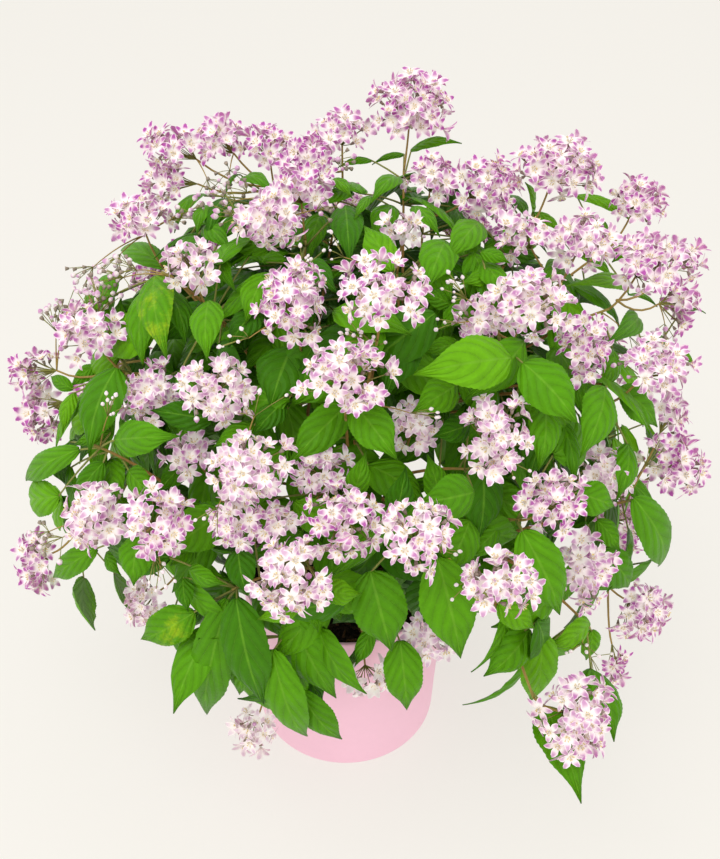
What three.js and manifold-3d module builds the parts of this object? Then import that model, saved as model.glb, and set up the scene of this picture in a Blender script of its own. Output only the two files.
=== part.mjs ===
// A potted deutzia: a rounded flowering shrub of leafy canes and star-flowered heads in a plain pot.
// Millimetres, +Z up. The origin is the centre of the pot's foot, on the surface it stands on.
import * as THREE from 'three';
import { ConvexHull } from 'three/addons/math/ConvexHull.js';
import { mergeVertices } from 'three/addons/utils/BufferGeometryUtils.js';
import Module from 'manifold-3d';

const wasm = await Module();
wasm.setup();

// Pot and soil.
const POT_RIM_RADIUS = 95;
const POT_FOOT_RADIUS = 88;
const POT_HEIGHT = 179;
const POT_WALL = 3.5;
const POT_FLOOR = 5;
const POT_EDGE = 2;
const RIM_EDGE = 0.7;
const POT_SIDES = 36;
const SOIL_TOP = 160;
const SOIL_RELIEF = 2.2;
const SOIL_MOUND_RADIUS = 58;
const FIT_GAP = 0.3;
const GOLDEN_ANGLE = Math.PI * (3 - Math.sqrt(5));

// The rounded outline that the leaves and flower heads follow.
const DOME_CENTRE = new THREE.Vector3(5, 41, 266);
const DOME_RADII = new THREE.Vector3(284, 252, 263);

// Leaves and heads on the side that was studied are placed by the column and row where each is seen from one
// viewpoint, in a frame 720 wide and 859 high, and by how far behind the dome's near face it lies.
const VIEW_EYE = new THREE.Vector3(14, -638, 803);
const VIEW_TILT = THREE.MathUtils.degToRad(36.2);
const VIEW_FOCAL = 950;
const VIEW_MIDDLE_COLUMN = 360;
const VIEW_MIDDLE_ROW = 429.5;
const VIEW_RIGHT = new THREE.Vector3(1, 0, 0);
const VIEW_UP = new THREE.Vector3(0, Math.sin(VIEW_TILT), Math.cos(VIEW_TILT));
const VIEW_FORWARD = new THREE.Vector3(0, Math.cos(VIEW_TILT), -Math.sin(VIEW_TILT));

// Canes: azimuth and elevation in degrees of the part of the dome that each one serves.
const CANES = [
  [-90, 12],
  [-38, 12],
  [10, 14],
  [62, 14],
  [118, 14],
  [170, 14],
  [-142, 12],
  [-90, 58],
  [20, 60],
  [150, 60],
];
const CANE_BASE_SPREAD = 34;
const CANE_DEPTH_IN_SOIL = 18;
const CANE_RADIUS = 3.6;
const CANE_TIP_RADIUS = 2.4;
const CANE_RISE = 45;
const CANE_REACH = 0.62;
const CANE_LEAN = 12;
const CANE_UPRIGHT = 110;
const FIRST_SHOOT = 0.6;
const LAST_SHOOT = 0.96;
const CANE_SIDES = 5;
const CANE_STEPS = 5;
const SHOOT_SIDES = 3;
const SHOOT_STEPS = 3;
const SHOOT_RADIUS = 2.1;
const SHOOT_TIP_RADIUS = 1.6;
const SHOOT_SAG = 0.16;
const HEART = new THREE.Vector3(2, 25, 190);
const SOIL_REACH = 78;
const RIM_CLEARANCE = 4;

// How far aside and how far up the middle of a stem is moved, in the order tried.
const BEND_TRIALS = [
  [0, 0],
  [0, -14],
  [14, 0],
  [-14, 0],
  [0, 16],
  [22, -14],
  [-22, -14],
  [30, 0],
  [-30, 0],
  [0, -34],
  [34, -30],
  [-34, -30],
  [0, 34],
  [50, 0],
  [-50, 0],
  [0, -60],
  [45, 45],
  [-45, 45],
];

// Flower heads.
const STALK_LENGTH = 24;
const STALK_DROP = -0.35;
const STALK_LIFT = 0.75;
const LOW_HEAD = 235;
const STALK_RADIUS = 1.5;
const STALK_SIDES = 3;
const FORK_SHARE = 0.2;
const HEAD_FILL = 0.94;
const HEAD_DEPTH = 0.42;
const SEEN_LEAN = 0.5;
const HIDDEN_HEADS = 10;
const HIDDEN_HALF = [27, 23, 20];
const HIDDEN_LEAN = 0.4;
const HIDDEN_TOP = 0.9;
const HIDDEN_STEP_DOWN = 0.0105;
const HIDDEN_DEPTH = 0.94;
const HIDDEN_FACING_LIMIT = -0.22;
const HIDDEN_SPACING = 104;
const SEEN_SPACING = 84;
const COMPANION_REACH = 44;
const COMPANION_SINK = 8;
const COMPANION_SIZE = 0.76;
const FLOWER_AREA = 150;
const FLOWER_COVER = 1.12;

// Shares of a head's own size: its core, where petals root, how high their tips and the flowers' eyes stand.
const CORE_SIZE = 0.62;
const CORE_FOOT = 0.6;
const PETAL_ROOT = 0.46;
const PETAL_HEIGHT = 0.9;
const EYE_HEIGHT = 0.76;
const FEWEST_FLOWERS = 2;
const MOST_FLOWERS = 5;

// Leaves.
const PETIOLE_RADIUS = 1;
const PETIOLE_ROOT = 0.6;
const LONG_LEAF = 64;
const LEAF_THICKNESS = 0.9;
const LEAF_FOLD = 0.12;
const LEAF_ARCH = 0.11;
const LEAF_ROWS = [0.3, 0.64];
const LONG_LEAF_ROWS = [0.2, 0.45, 0.74];
const LEAF_FOOT_SINK = 14;
const LEAF_TO_VIEW = 0.9;
const LEAF_CLEARANCE = 7;
const SAME_CANE_CLEARANCE = 3.5;
const STEM_CLEARANCE = 5;
const SAMPLE_STEP = 9;
const FLOOR_CLEARANCE = 12;
const HEAD_CLEARANCE = 1.16;
const PUSH_STEP = 6;
const PUSH_STEPS = 16;
const PETIOLE_SHARES = [0.2, 0.35, 0.5, 0.65, 0.8, 0.95];
const FILL_LEAVES = 95;
const FILL_TOP = 0.97;
const FILL_SPAN = 1.6;
const FILL_DEPTHS = [0.98, 0.95, 0.92, 0.89, 0.86, 0.83];
const FILL_TURN = 2.6;
const FILL_LENGTH = 66;
const FILL_WIDTH = 36;
const FILL_SPREAD = 0.4;
const FILL_FOOT_SINK = 10;
const FILL_FACING_LIMIT = 0.2;
const LONGEST_PETIOLE = 75;

// Colours.
const POT_COLOUR = 0xeebfd0;
const SOIL_COLOUR = 0x3a2c22;
const LEAF_COLOURS = [0x4c8a1c, 0x5b9a26, 0x437d1b, 0x66a334];
const FLOWER_COLOURS = [0xdcb4dc, 0xe6cbe6, 0xd2a2d4];

// Each row is one node of heads that touch: column, row, half width and half height in mm, mm behind the dome.
const SEEN_HEADS = [
  [[411, 110, 34, 31, 20]],
  [[342, 133, 23, 18, 40], [312, 160, 25, 22, 0]],
  [[300, 190, 23, 19, 20], [268, 222, 25, 20, 5]],
  [[268, 148, 24, 20, 40], [220, 142, 21, 20, 50], [170, 150, 23, 17, 50], [172, 183, 21, 16, 60]],
  [[140, 223, 25, 19, -20]],
  [[190, 268, 19, 18, 0]],
  [[293, 303, 24, 29, -5]],
  [[382, 293, 28, 21, -50]],
  [[403, 232, 16, 12, 60]],
  [[432, 180, 19, 19, 20], [485, 190, 28, 29, -25]],
  [[556, 172, 33, 26, -5]],
  [[638, 205, 22, 25, 40]],
  [[582, 245, 25, 23, -70], [522, 237, 22, 16, 5]],
  [[645, 265, 24, 26, -60], [683, 262, 15, 15, 50], [672, 305, 17, 23, 30]],
  [[532, 303, 29, 23, -20], [484, 322, 19, 18, 30]],
  [[583, 350, 17, 25, 10]],
  [[652, 368, 27, 22, -70]],
  [[90, 335, 25, 21, 0], [38, 372, 22, 17, 0], [46, 413, 20, 24, 80]],
  [[152, 395, 22, 23, 50], [217, 392, 25, 23, 20]],
  [[345, 378, 31, 23, -15]],
  [[192, 457, 18, 16, 70], [250, 468, 28, 24, 0], [235, 520, 18, 20, 30]],
  [[413, 428, 17, 18, 60]],
  [[495, 440, 24, 30, 5]],
  [[553, 503, 22, 21, -5]],
  [[605, 475, 20, 22, 50]],
  [[672, 465, 29, 23, 25], [668, 418, 14, 24, 90]],
  [[97, 518, 23, 26, 0], [161, 522, 21, 25, 0]],
  [[40, 560, 17, 28, 80]],
  [[148, 600, 17, 23, 160]],
  [[322, 472, 20, 17, 50], [345, 522, 25, 24, 0], [278, 520, 13, 14, 40], [292, 577, 26, 26, -25]],
  [[418, 537, 22, 24, -40]],
  [[498, 584, 23, 20, -55]],
  [[585, 572, 19, 29, 25]],
  [[637, 608, 25, 26, 20], [613, 663, 10, 20, 80]],
  [[575, 716, 25, 29, -150]],
  [[427, 640, 18, 15, 60]],
  [[366, 676, 19, 13, 130]],
  [[255, 726, 17, 21, 120]],
];

// Each row is one leaf: foot column and row, tip column and row, width in mm, mm behind the dome.
const SEEN_LEAVES = [
  [410, 150, 461, 141, 19, 20],
  [405, 154, 372, 163, 10, 20],
  [372, 160, 338, 166, 11, 30],
  [575, 195, 633, 221, 19, 15],
  [533, 212, 562, 232, 16, 30],
  [628, 290, 563, 287, 17, 10],
  [634, 318, 607, 345, 21, 20],
  [680, 312, 706, 311, 10, 0],
  [665, 345, 697, 366, 16, 20],
  [664, 340, 640, 346, 11, 20],
  [170, 268, 120, 250, 22, 12],
  [155, 275, 166, 358, 30, 0],
  [209, 300, 206, 358, 24, 5],
  [392, 272, 364, 223, 23, 10],
  [512, 358, 417, 373, 37, -10],
  [522, 362, 578, 424, 36, -5],
  [350, 402, 287, 466, 28, 5],
  [355, 405, 397, 459, 29, 5],
  [114, 440, 178, 436, 26, 8],
  [80, 449, 25, 481, 21, 10],
  [112, 432, 72, 446, 11, 5],
  [74, 392, 62, 433, 15, 12],
  [97, 366, 70, 386, 16, 15],
  [73, 389, 50, 376, 12, 15],
  [437, 557, 461, 659, 40, -10],
  [522, 530, 562, 617, 34, -5],
  [475, 492, 418, 503, 31, 5],
  [482, 490, 535, 518, 28, 10],
  [605, 386, 580, 458, 30, 5],
  [620, 388, 657, 427, 28, 5],
  [633, 497, 663, 569, 34, 10],
  [576, 492, 617, 507, 26, 15],
  [272, 498, 232, 542, 23, 0],
  [97, 548, 54, 577, 21, 10],
  [106, 552, 119, 575, 14, 20],
  [140, 535, 133, 586, 27, 10],
  [195, 612, 139, 641, 30, 30],
  [228, 597, 204, 721, 34, 30],
  [236, 597, 264, 704, 35, 20],
  [272, 648, 307, 745, 30, 20],
  [290, 612, 336, 699, 36, 35],
  [300, 690, 342, 741, 26, 45],
  [300, 604, 257, 620, 16, 5],
  [325, 590, 361, 594, 19, 10],
  [312, 606, 318, 632, 10, 10],
  [370, 570, 392, 653, 39, 10],
  [400, 640, 407, 711, 30, 40],
  [530, 628, 485, 678, 32, 20],
  [498, 603, 536, 630, 20, 0],
  [541, 632, 530, 701, 31, 10],
  [543, 705, 582, 801, 34, -120],
  [590, 668, 615, 741, 34, -40],
  [188, 569, 225, 585, 15, 20],
  [183, 577, 188, 612, 15, 25],
  [602, 550, 632, 590, 28, 25],
  [470, 520, 443, 575, 29, 15],
  [545, 402, 540, 470, 25, 15],
  [210, 252, 235, 290, 18, 30],
  [292, 347, 270, 409, 40, 20],
  [214, 420, 150, 410, 22, 10],
  [117, 367, 86, 452, 35, 20],
  [122, 360, 120, 296, 21, 20],
  [104, 462, 74, 503, 19, 25],
  [110, 458, 122, 503, 22, 25],
  [284, 402, 253, 434, 19, 25],
  [457, 385, 413, 412, 26, 35],
  [395, 518, 406, 468, 20, 30],
  [352, 500, 366, 452, 17, 30],
  [372, 512, 402, 548, 19, 30],
  [410, 325, 385, 398, 32, 35],
  [445, 240, 425, 290, 30, 40],
  [480, 252, 510, 262, 14, 25],
  [482, 262, 505, 298, 22, 40],
  [450, 305, 418, 292, 16, 40],
  [462, 345, 420, 352, 16, 30],
  [322, 212, 308, 262, 22, 45],
  [345, 205, 350, 265, 26, 50],
  [268, 272, 245, 322, 26, 45],
  [258, 310, 228, 346, 22, 40],
  [128, 470, 158, 497, 20, 35],
  [190, 460, 157, 493, 19, 45],
  [222, 512, 168, 552, 34, 35],
  [196, 545, 170, 566, 16, 40],
  [255, 425, 213, 447, 17, 40],
  [470, 425, 433, 437, 20, 35],
  [560, 417, 577, 486, 16, 30],
  [597, 520, 620, 550, 18, 45],
  [628, 443, 618, 500, 21, 30],
  [250, 640, 238, 698, 26, 50],
  [305, 660, 323, 704, 18, 45],
  [372, 628, 355, 667, 14, 45],
  [590, 622, 548, 648, 25, 20],
  [592, 630, 586, 660, 19, 10],
  [500, 525, 462, 560, 20, 45],
  [440, 500, 428, 455, 19, 45],
];

// Ends of shoots that bear leaves only: column, row, mm behind the dome.
const LEAFY_SHOOTS = [
  [162, 272, 22],
  [393, 275, 40],
  [352, 403, 45],
  [94, 445, 35],
  [232, 590, 50],
  [282, 640, 60],
  [300, 605, 45],
  [395, 628, 75],
  [633, 500, 45],
  [618, 388, 40],
  [668, 338, 50],
  [590, 628, 40],
];

// Ends of more such shoots on the sides that were not studied: azimuth and elevation in degrees.
const BACK_SHOOTS = [
  [5, 2],
  [32, 24],
  [48, -4],
  [66, 38],
  [84, 10],
  [104, 46],
  [112, -8],
  [128, 22],
  [150, 2],
  [172, 26],
];
const BACK_SHOOT_REACH = 0.8;

// Seeded draws between 0 and 1, the same in every run.
function randomDraws(seed) {
  let state = seed;
  return () => {
    state = (Math.imul(state, 1664525) + 1013904223) >>> 0;
    return state / 4294967296;
  };
}

// Where the sight line of a column and row meets the dome, or comes nearest to it, then so far behind that.
function onDome(column, row, behind) {
  const line = VIEW_FORWARD.clone().multiplyScalar(VIEW_FOCAL)
    .addScaledVector(VIEW_RIGHT, column - VIEW_MIDDLE_COLUMN)
    .addScaledVector(VIEW_UP, VIEW_MIDDLE_ROW - row)
    .normalize();
  const start = VIEW_EYE.clone().sub(DOME_CENTRE).divide(DOME_RADII);
  const slope = line.clone().divide(DOME_RADII);
  const a = slope.dot(slope);
  const b = start.dot(slope);
  const c = start.dot(start) - 1;
  const reach = (-b - Math.sqrt(Math.max(b * b - a * c, 0))) / a;
  return VIEW_EYE.clone().addScaledVector(line, reach + behind);
}

// A direction by azimuth and elevation in degrees.
function direction(azimuth, elevation) {
  const around = THREE.MathUtils.degToRad(azimuth);
  const above = THREE.MathUtils.degToRad(elevation);
  return new THREE.Vector3(
    Math.cos(above) * Math.cos(around),
    Math.cos(above) * Math.sin(around),
    Math.sin(above),
  );
}

// A point so far along the way from the dome's centre out to its surface.
function insideDome(outward, share) {
  return outward.clone().multiply(DOME_RADII).multiplyScalar(share).add(DOME_CENTRE);
}

// How squarely a part of the dome is turned to the viewpoint: 1 is straight at it, under 0 is out of sight.
function turnedToView(point) {
  return VIEW_EYE.clone().sub(point).normalize().dot(outOfDome(point));
}

// The direction straight out of the dome at a point.
function outOfDome(point) {
  return point.clone().sub(DOME_CENTRE).divide(DOME_RADII).divide(DOME_RADII).normalize();
}

function mix(a, b, share) {
  return a.clone().lerp(b, share);
}

// A point of the bend that leaves start, leans to middle and ends at end.
function bend(start, middle, end, share) {
  return mix(mix(start, middle, share), mix(middle, end, share), share);
}

// The solid whose rings of points are joined one after the other. The quads of one side are split to mirror
// those of the next, so a thin blade is split alike on both faces.
function loft(rings) {
  const sides = rings[0].length;
  const points = rings.flat();
  const faces = [];
  for (let ring = 0; ring + 1 < rings.length; ring += 1) {
    const near = ring * sides;
    const far = near + sides;
    const pointed = rings[ring + 1].length === 1;
    for (let side = 0; side < sides; side += 1) {
      const next = (side + 1) % sides;
      if (pointed) {
        faces.push([near + side, near + next, far]);
      } else if (side % 2 === 0) {
        faces.push([near + side, near + next, far + next], [near + side, far + next, far + side]);
      } else {
        faces.push([near + side, near + next, far + side], [near + next, far + next, far + side]);
      }
    }
  }
  for (let side = 1; side + 1 < sides; side += 1) {
    faces.push([0, side + 1, side]);
  }
  if (rings.at(-1).length > 1) {
    const last = points.length - sides;
    for (let side = 1; side + 1 < sides; side += 1) {
      faces.push([last, last + side, last + side + 1]);
    }
  }
  return solidOf(points, faces);
}

function solidOf(points, faces) {
  const vertProperties = new Float32Array(points.flatMap((point) => [point.x, point.y, point.z]));
  const triVerts = new Uint32Array(faces.flat());
  return new wasm.Manifold(new wasm.Mesh({ numProp: 3, vertProperties, triVerts }));
}

function solidOfGeometry(geometry) {
  geometry.deleteAttribute('normal');
  geometry.deleteAttribute('uv');
  const merged = mergeVertices(geometry, 1e-3);
  const vertProperties = new Float32Array(merged.attributes.position.array);
  const triVerts = new Uint32Array(merged.index.array);
  return new wasm.Manifold(new wasm.Mesh({ numProp: 3, vertProperties, triVerts }));
}

// Two directions across a line, with the first one level where it can be.
function across(line) {
  const upright = Math.abs(line.z) > 0.95 ? new THREE.Vector3(0, 1, 0) : new THREE.Vector3(0, 0, 1);
  const level = upright.cross(line).normalize();
  return [level, line.clone().cross(level)];
}

function ringAround(centre, line, level, radius, sides) {
  const beside = level.clone().addScaledVector(line, -level.dot(line)).normalize();
  const over = line.clone().cross(beside);
  return Array.from({ length: sides }, (_, side) => {
    const angle = (2 * Math.PI * side) / sides;
    return centre.clone()
      .addScaledVector(beside, radius * Math.cos(angle))
      .addScaledVector(over, radius * Math.sin(angle));
  });
}

// The ring around a bend so far along it, untwisted against its neighbours. It lies square to the bend, or to
// the face when one is given, and is moved back along its line by a setback.
function ringOn(bendPoints, share, radius, sides, { face = null, setback = 0 } = {}) {
  const [start, middle, end] = bendPoints;
  const ahead = bend(...bendPoints, Math.min(share + 0.02, 1));
  const back = bend(...bendPoints, Math.max(share - 0.02, 0));
  const line = face ?? ahead.sub(back).normalize();
  const level = middle.clone().sub(start).cross(end.clone().sub(middle));
  const centre = bend(...bendPoints, share).addScaledVector(line, -setback);
  return ringAround(centre, line, level.length() > 1 ? level : across(line)[0], radius, sides);
}

// A tapered stem along a bend, in straight steps, that ends square to a face when one is given.
function stem(bendPoints, radius, tipRadius, sides, steps, endFace = null) {
  return loft(Array.from({ length: steps + 1 }, (_, step) => {
    const share = step / steps;
    const face = step === steps ? endFace : null;
    return ringOn(bendPoints, share, radius + (tipRadius - radius) * share, sides, { face });
  }));
}

// The middle of a stem of straight steps, so far along it.
function alongStem(bendPoints, steps, share) {
  const step = Math.min(Math.floor(share * steps), steps - 1);
  return mix(bend(...bendPoints, step / steps), bend(...bendPoints, (step + 1) / steps), share * steps - step);
}

// Heads: each has a centre, three half sizes along its own axes, the way it faces and where its stalk ends.
function headAt(centre, axes, half, lean) {
  const inward = HEART.clone().sub(centre).normalize();
  inward.z += centre.z > LOW_HEAD ? STALK_DROP : STALK_LIFT;
  inward.normalize();
  const joint = centre.clone().addScaledVector(inward, half[2] + STALK_LENGTH);
  return facingOut({ centre, axes, half, lean, joint });
}

// Turns a head away from its joint, leaning towards its own third axis.
function facingOut(head) {
  const outward = head.centre.clone().sub(head.joint).normalize();
  return { ...head, facing: outward.addScaledVector(head.axes[2], head.lean).normalize() };
}

// The way the cut end of a head's stalk faces, turned towards the head.
function stalkFace({ centre, axes, half, joint }) {
  const offset = centre.clone().sub(joint);
  return axes.reduce(
    (sum, axis, i) => sum.addScaledVector(axis, axis.dot(offset) / half[i] ** 2),
    new THREE.Vector3(),
  ).normalize();
}

// The other heads of a node branch off the stalk of the first.
function branched([first, ...others]) {
  const fork = mix(first.joint, first.centre, FORK_SHARE);
  return [first, ...others.map((head) => facingOut({ ...head, joint: fork }))];
}

function seenHead([column, row, halfWidth, halfHeight, behind]) {
  const half = [halfWidth, halfHeight, HEAD_DEPTH * (halfWidth + halfHeight)].map((size) => size * HEAD_FILL);
  const axes = [VIEW_RIGHT, VIEW_UP, VIEW_FORWARD.clone().multiplyScalar(-1)];
  return headAt(onDome(column, row, behind + half[2]), axes, half, SEEN_LEAN);
}

// Heads on the sides that were not studied: spread evenly by the golden angle where the dome turns away
// from the viewpoint, each with a smaller companion at its side.
function hiddenHeadGroups(seenHeads) {
  const groups = [];
  for (let step = 0; groups.length < HIDDEN_HEADS; step += 1) {
    const height = HIDDEN_TOP - HIDDEN_STEP_DOWN * step;
    const around = Math.sqrt(1 - height * height);
    const angle = GOLDEN_ANGLE * step;
    const outward = new THREE.Vector3(around * Math.cos(angle), around * Math.sin(angle), height);
    const centre = insideDome(outward, HIDDEN_DEPTH);
    const normal = outOfDome(centre);
    const crowded = groups.flat().some((head) => head.centre.distanceTo(centre) < HIDDEN_SPACING)
      || seenHeads.some((head) => head.centre.distanceTo(centre) < SEEN_SPACING);
    if (turnedToView(centre) > HIDDEN_FACING_LIMIT || crowded) continue;
    const [level, rise] = across(normal);
    const turn = step % 2 ? 1 : -1;
    const side = centre.clone()
      .addScaledVector(level, turn * COMPANION_REACH)
      .addScaledVector(normal, -COMPANION_SINK);
    const small = HIDDEN_HALF.map((size) => size * COMPANION_SIZE);
    const axes = [level, rise, normal];
    groups.push([headAt(centre, axes, HIDDEN_HALF, HIDDEN_LEAN), headAt(side, axes, small, HIDDEN_LEAN)]);
  }
  return groups;
}

// A point of a head in the head's own sizes, where the head is a ball of radius 1.
function inHead(head, point) {
  const offset = point.clone().sub(head.centre);
  return new THREE.Vector3(...head.axes.map((axis, i) => axis.dot(offset) / head.half[i]));
}

function outOfHead(head, local) {
  return head.axes.reduce(
    (point, axis, i) => point.addScaledVector(axis, local.getComponent(i) * head.half[i]),
    head.centre.clone(),
  );
}

// One head as a solid: flowers with five pointed petals, each rooted on a five-sided ring of a smaller core,
// and a stalk down to the joint. The flowers spread over the head by the golden angle.
function headSolid(head, flowers, turn) {
  const facing = inHead(head, head.centre.clone().add(head.facing)).normalize();
  const [sideways, upward] = across(facing);
  const tipReach = 0.5 * Math.sqrt(5 / Math.max(flowers, 3));
  const points = [];
  const blooms = [];
  for (let flower = 0; flower < flowers; flower += 1) {
    const height = 1 - (FLOWER_COVER * (flower + 0.5)) / flowers;
    const around = Math.sqrt(1 - height * height);
    const angle = flower * GOLDEN_ANGLE + turn;
    const outward = facing.clone().multiplyScalar(height)
      .addScaledVector(sideways, around * Math.cos(angle))
      .addScaledVector(upward, around * Math.sin(angle));
    const [level, rise] = across(outward);
    const spread = (distance, reach, step) => outward.clone().multiplyScalar(distance)
      .addScaledVector(level, reach * Math.cos((step * Math.PI) / 5 + flower))
      .addScaledVector(rise, reach * Math.sin((step * Math.PI) / 5 + flower));
    const ring = [0, 2, 4, 6, 8].map((step) => spread(CORE_SIZE, PETAL_ROOT * tipReach, step));
    const tips = [1, 3, 5, 7, 9].map((step) => spread(PETAL_HEIGHT, tipReach, step));
    points.push(...ring);
    blooms.push({ heart: outward.clone().multiplyScalar(EYE_HEIGHT), ring, tips });
  }
  const down = inHead(head, head.joint).normalize();
  const foot = ringAround(
    down.clone().multiplyScalar(CORE_FOOT),
    down,
    across(down)[0],
    STALK_RADIUS / head.half[2],
    STALK_SIDES,
  );
  points.push(...foot);
  const faces = [];
  for (const face of new ConvexHull().setFromPoints(points).faces) {
    const corners = [face.getEdge(0), face.getEdge(1), face.getEdge(2)].map((edge) => edge.head().point);
    const covered = [foot, ...blooms.map((bloom) => bloom.ring)]
      .some((ring) => corners.every((corner) => ring.includes(corner)));
    if (!covered) faces.push(corners);
  }
  for (const { heart, ring, tips } of blooms) {
    ring.forEach((root, i) => {
      const next = ring[(i + 1) % ring.length];
      faces.push([heart, root, tips[i]], [heart, tips[i], next], [root, next, tips[i]]);
    });
  }
  const all = [...new Set(faces.flat())];
  const world = all.map((point) => outOfHead(head, point));
  const index = new Map(all.map((point, i) => [point, i]));
  const footCentre = outOfHead(head, down.clone().multiplyScalar(CORE_FOOT));
  const end = foot.map((corner) => world[index.get(corner)].clone().sub(footCentre).add(head.joint));
  const triangles = faces.map((corners) => corners.map((corner) => index.get(corner)));
  foot.forEach((corner, i) => {
    const here = index.get(corner);
    const next = index.get(foot[(i + 1) % STALK_SIDES]);
    const endHere = all.length + i;
    const endNext = all.length + ((i + 1) % STALK_SIDES);
    triangles.push([here, next, endNext], [here, endNext, endHere]);
  });
  triangles.push([all.length, all.length + 1, all.length + 2]);
  return solidOf([...world, ...end], triangles);
}

const seenGroups = SEEN_HEADS.map((rows) => rows.map(seenHead));
const headGroups = [...seenGroups, ...hiddenHeadGroups(seenGroups.flat())].map(branched);

// How far a point is from the nearest flower head, with petals counted in.
function clearOfHeads(point) {
  return Math.min(...headGroups.flat().map(
    (head) => (inHead(head, point).length() - HEAD_CLEARANCE) * Math.min(...head.half),
  ));
}

// How far right and up of the middle of the view a point is, per mm of distance, and how far off it is.
function inView(point) {
  const offset = point.clone().sub(VIEW_EYE);
  const away = offset.dot(VIEW_FORWARD);
  return { right: offset.dot(VIEW_RIGHT) / away, up: offset.dot(VIEW_UP) / away, away };
}

// Whether a point stands between the viewpoint and a head of the studied side.
function hidesHead(point) {
  const here = inView(point);
  return seenGroups.flat().some((head) => {
    const there = inView(head.centre);
    const right = ((here.right - there.right) * there.away) / head.half[0];
    const up = ((here.up - there.up) * there.away) / head.half[1];
    return here.away < there.away && Math.hypot(right, up) < 1;
  });
}

// The bend from start to end whose middle is moved aside, up or down until it passes clear of the heads and of
// the stems already there.
function clearBend(start, middle, end, others) {
  const [level, rise] = across(end.clone().sub(start).normalize());
  let best = null;
  for (const [aside, up] of BEND_TRIALS) {
    const trial = middle.clone().addScaledVector(level, aside).addScaledVector(rise, up);
    let spare = Infinity;
    for (let share = 0.15; share < 1; share += 0.1) {
      const point = bend(start, trial, end, share);
      spare = Math.min(spare, clearOfHeads(point) - SHOOT_RADIUS);
      for (const other of others) spare = Math.min(spare, point.distanceTo(other) - 2 * CANE_RADIUS);
      if (Math.hypot(point.x, point.y) > SOIL_REACH) {
        spare = Math.min(spare, point.z - POT_HEIGHT - RIM_CLEARANCE);
      }
    }
    if (!best || spare > best.spare) best = { spare, line: [start, trial, end] };
    if (best.spare > 0) break;
  }
  return best.line;
}

// Each cane rises from the soil, leans out and bears the shoots that end nearest its own way.
function growCanes() {
  const grown = CANES.map((angles) => {
    const aim = direction(...angles);
    const foot = new THREE.Vector3(aim.x, aim.y, 0).multiplyScalar(CANE_BASE_SPREAD);
    foot.z = SOIL_TOP - CANE_DEPTH_IN_SOIL;
    return { aim, foot, ends: [] };
  });
  const headEnds = headGroups.map(([first]) => ({ joint: first.joint, face: stalkFace(first) }));
  const bareEnds = [
    ...LEAFY_SHOOTS.map((row) => onDome(...row)),
    ...BACK_SHOOTS.map((angles) => insideDome(direction(...angles), BACK_SHOOT_REACH)),
  ].map((joint) => ({ joint, face: null }));
  for (const end of [...headEnds, ...bareEnds]) {
    const way = end.joint.clone().sub(HEART).normalize();
    const nearness = grown.map((cane) => cane.aim.dot(way));
    grown[nearness.indexOf(Math.max(...nearness))].ends.push(end);
  }
  for (const cane of grown) {
    const mean = cane.ends.reduce((sum, end) => sum.add(end.joint), new THREE.Vector3())
      .divideScalar(cane.ends.length);
    const fork = mix(cane.foot, mean, CANE_REACH);
    fork.z += CANE_RISE;
    const middle = cane.foot.clone().addScaledVector(cane.aim, CANE_LEAN);
    middle.z = cane.foot.z + CANE_UPRIGHT;
    cane.bend = clearBend(cane.foot, middle, fork, []);
  }
  for (const cane of grown) {
    const others = grown.filter((other) => other !== cane)
      .flatMap((other) => [...(other.shoots ?? []), other.bend]
        .flatMap((line) => [0.2, 0.35, 0.5, 0.65, 0.8, 0.95].map((share) => bend(...line, share))));
    cane.shoots = cane.ends.map(({ joint, face }, i) => {
      const share = FIRST_SHOOT + ((LAST_SHOOT - FIRST_SHOOT) * (i + 1)) / cane.ends.length;
      const start = alongStem(cane.bend, CANE_STEPS, share);
      const middle = mix(start, joint, 0.5).add(new THREE.Vector3(0, 0, start.distanceTo(joint) * SHOOT_SAG));
      const stop = face ? joint.clone().addScaledVector(face, -FIT_GAP) : joint;
      return clearBend(start, middle, stop, others);
    });
  }
  return grown;
}

const canes = growCanes();

// Points along every stem, for seating leaves on them and keeping other leaves clear.
function stemPoints() {
  const points = [];
  canes.forEach((cane, index) => {
    for (const line of [cane.bend, ...cane.shoots]) {
      const steps = line === cane.bend ? CANE_STEPS : SHOOT_STEPS;
      for (let share = 0.16; share < 0.97; share += 0.05) {
        points.push({ point: alongStem(line, steps, share), cane: index, bears: true });
      }
    }
  });
  for (const head of headGroups.flat()) {
    for (let share = 0; share < 0.9; share += 0.06) {
      points.push({ point: mix(head.joint, head.centre, share), cane: -1, bears: false });
    }
  }
  return points;
}

const stems = stemPoints();

// Half the width of a leaf, as a share of its greatest, so far along it: egg-shaped with a drawn-out tip.
function leafOutline(share) {
  return Math.sin(Math.PI * share ** 0.72) ** 0.85;
}

function bladeAt(foot, tip, width, facing) {
  const line = tip.clone().sub(foot);
  const length = line.length();
  line.normalize();
  const normal = facing.clone().addScaledVector(line, -facing.dot(line)).normalize();
  const side = line.clone().cross(normal);
  const bearers = stems.filter((stemPoint) => stemPoint.bears);
  const gaps = bearers.map((stemPoint) => stemPoint.point.distanceTo(foot));
  const bearer = bearers[gaps.indexOf(Math.min(...gaps))];
  const petiole = Math.min(...gaps);
  return { root: bearer.point, cane: bearer.cane, petiole, foot, tip, width, length, normal, side };
}

// A point on a blade: share runs from foot to tip, and reach from -1 at one edge to 1 at the other.
function onBlade(blade, share, reach) {
  const halfWidth = (blade.width / 2) * leafOutline(share);
  return mix(blade.foot, blade.tip, share)
    .addScaledVector(blade.normal, LEAF_ARCH * blade.length * 4 * share * (1 - share))
    .addScaledVector(blade.normal, -(LEAF_THICKNESS + LEAF_FOLD * halfWidth) * Math.abs(reach))
    .addScaledVector(blade.side, halfWidth * reach);
}

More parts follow.
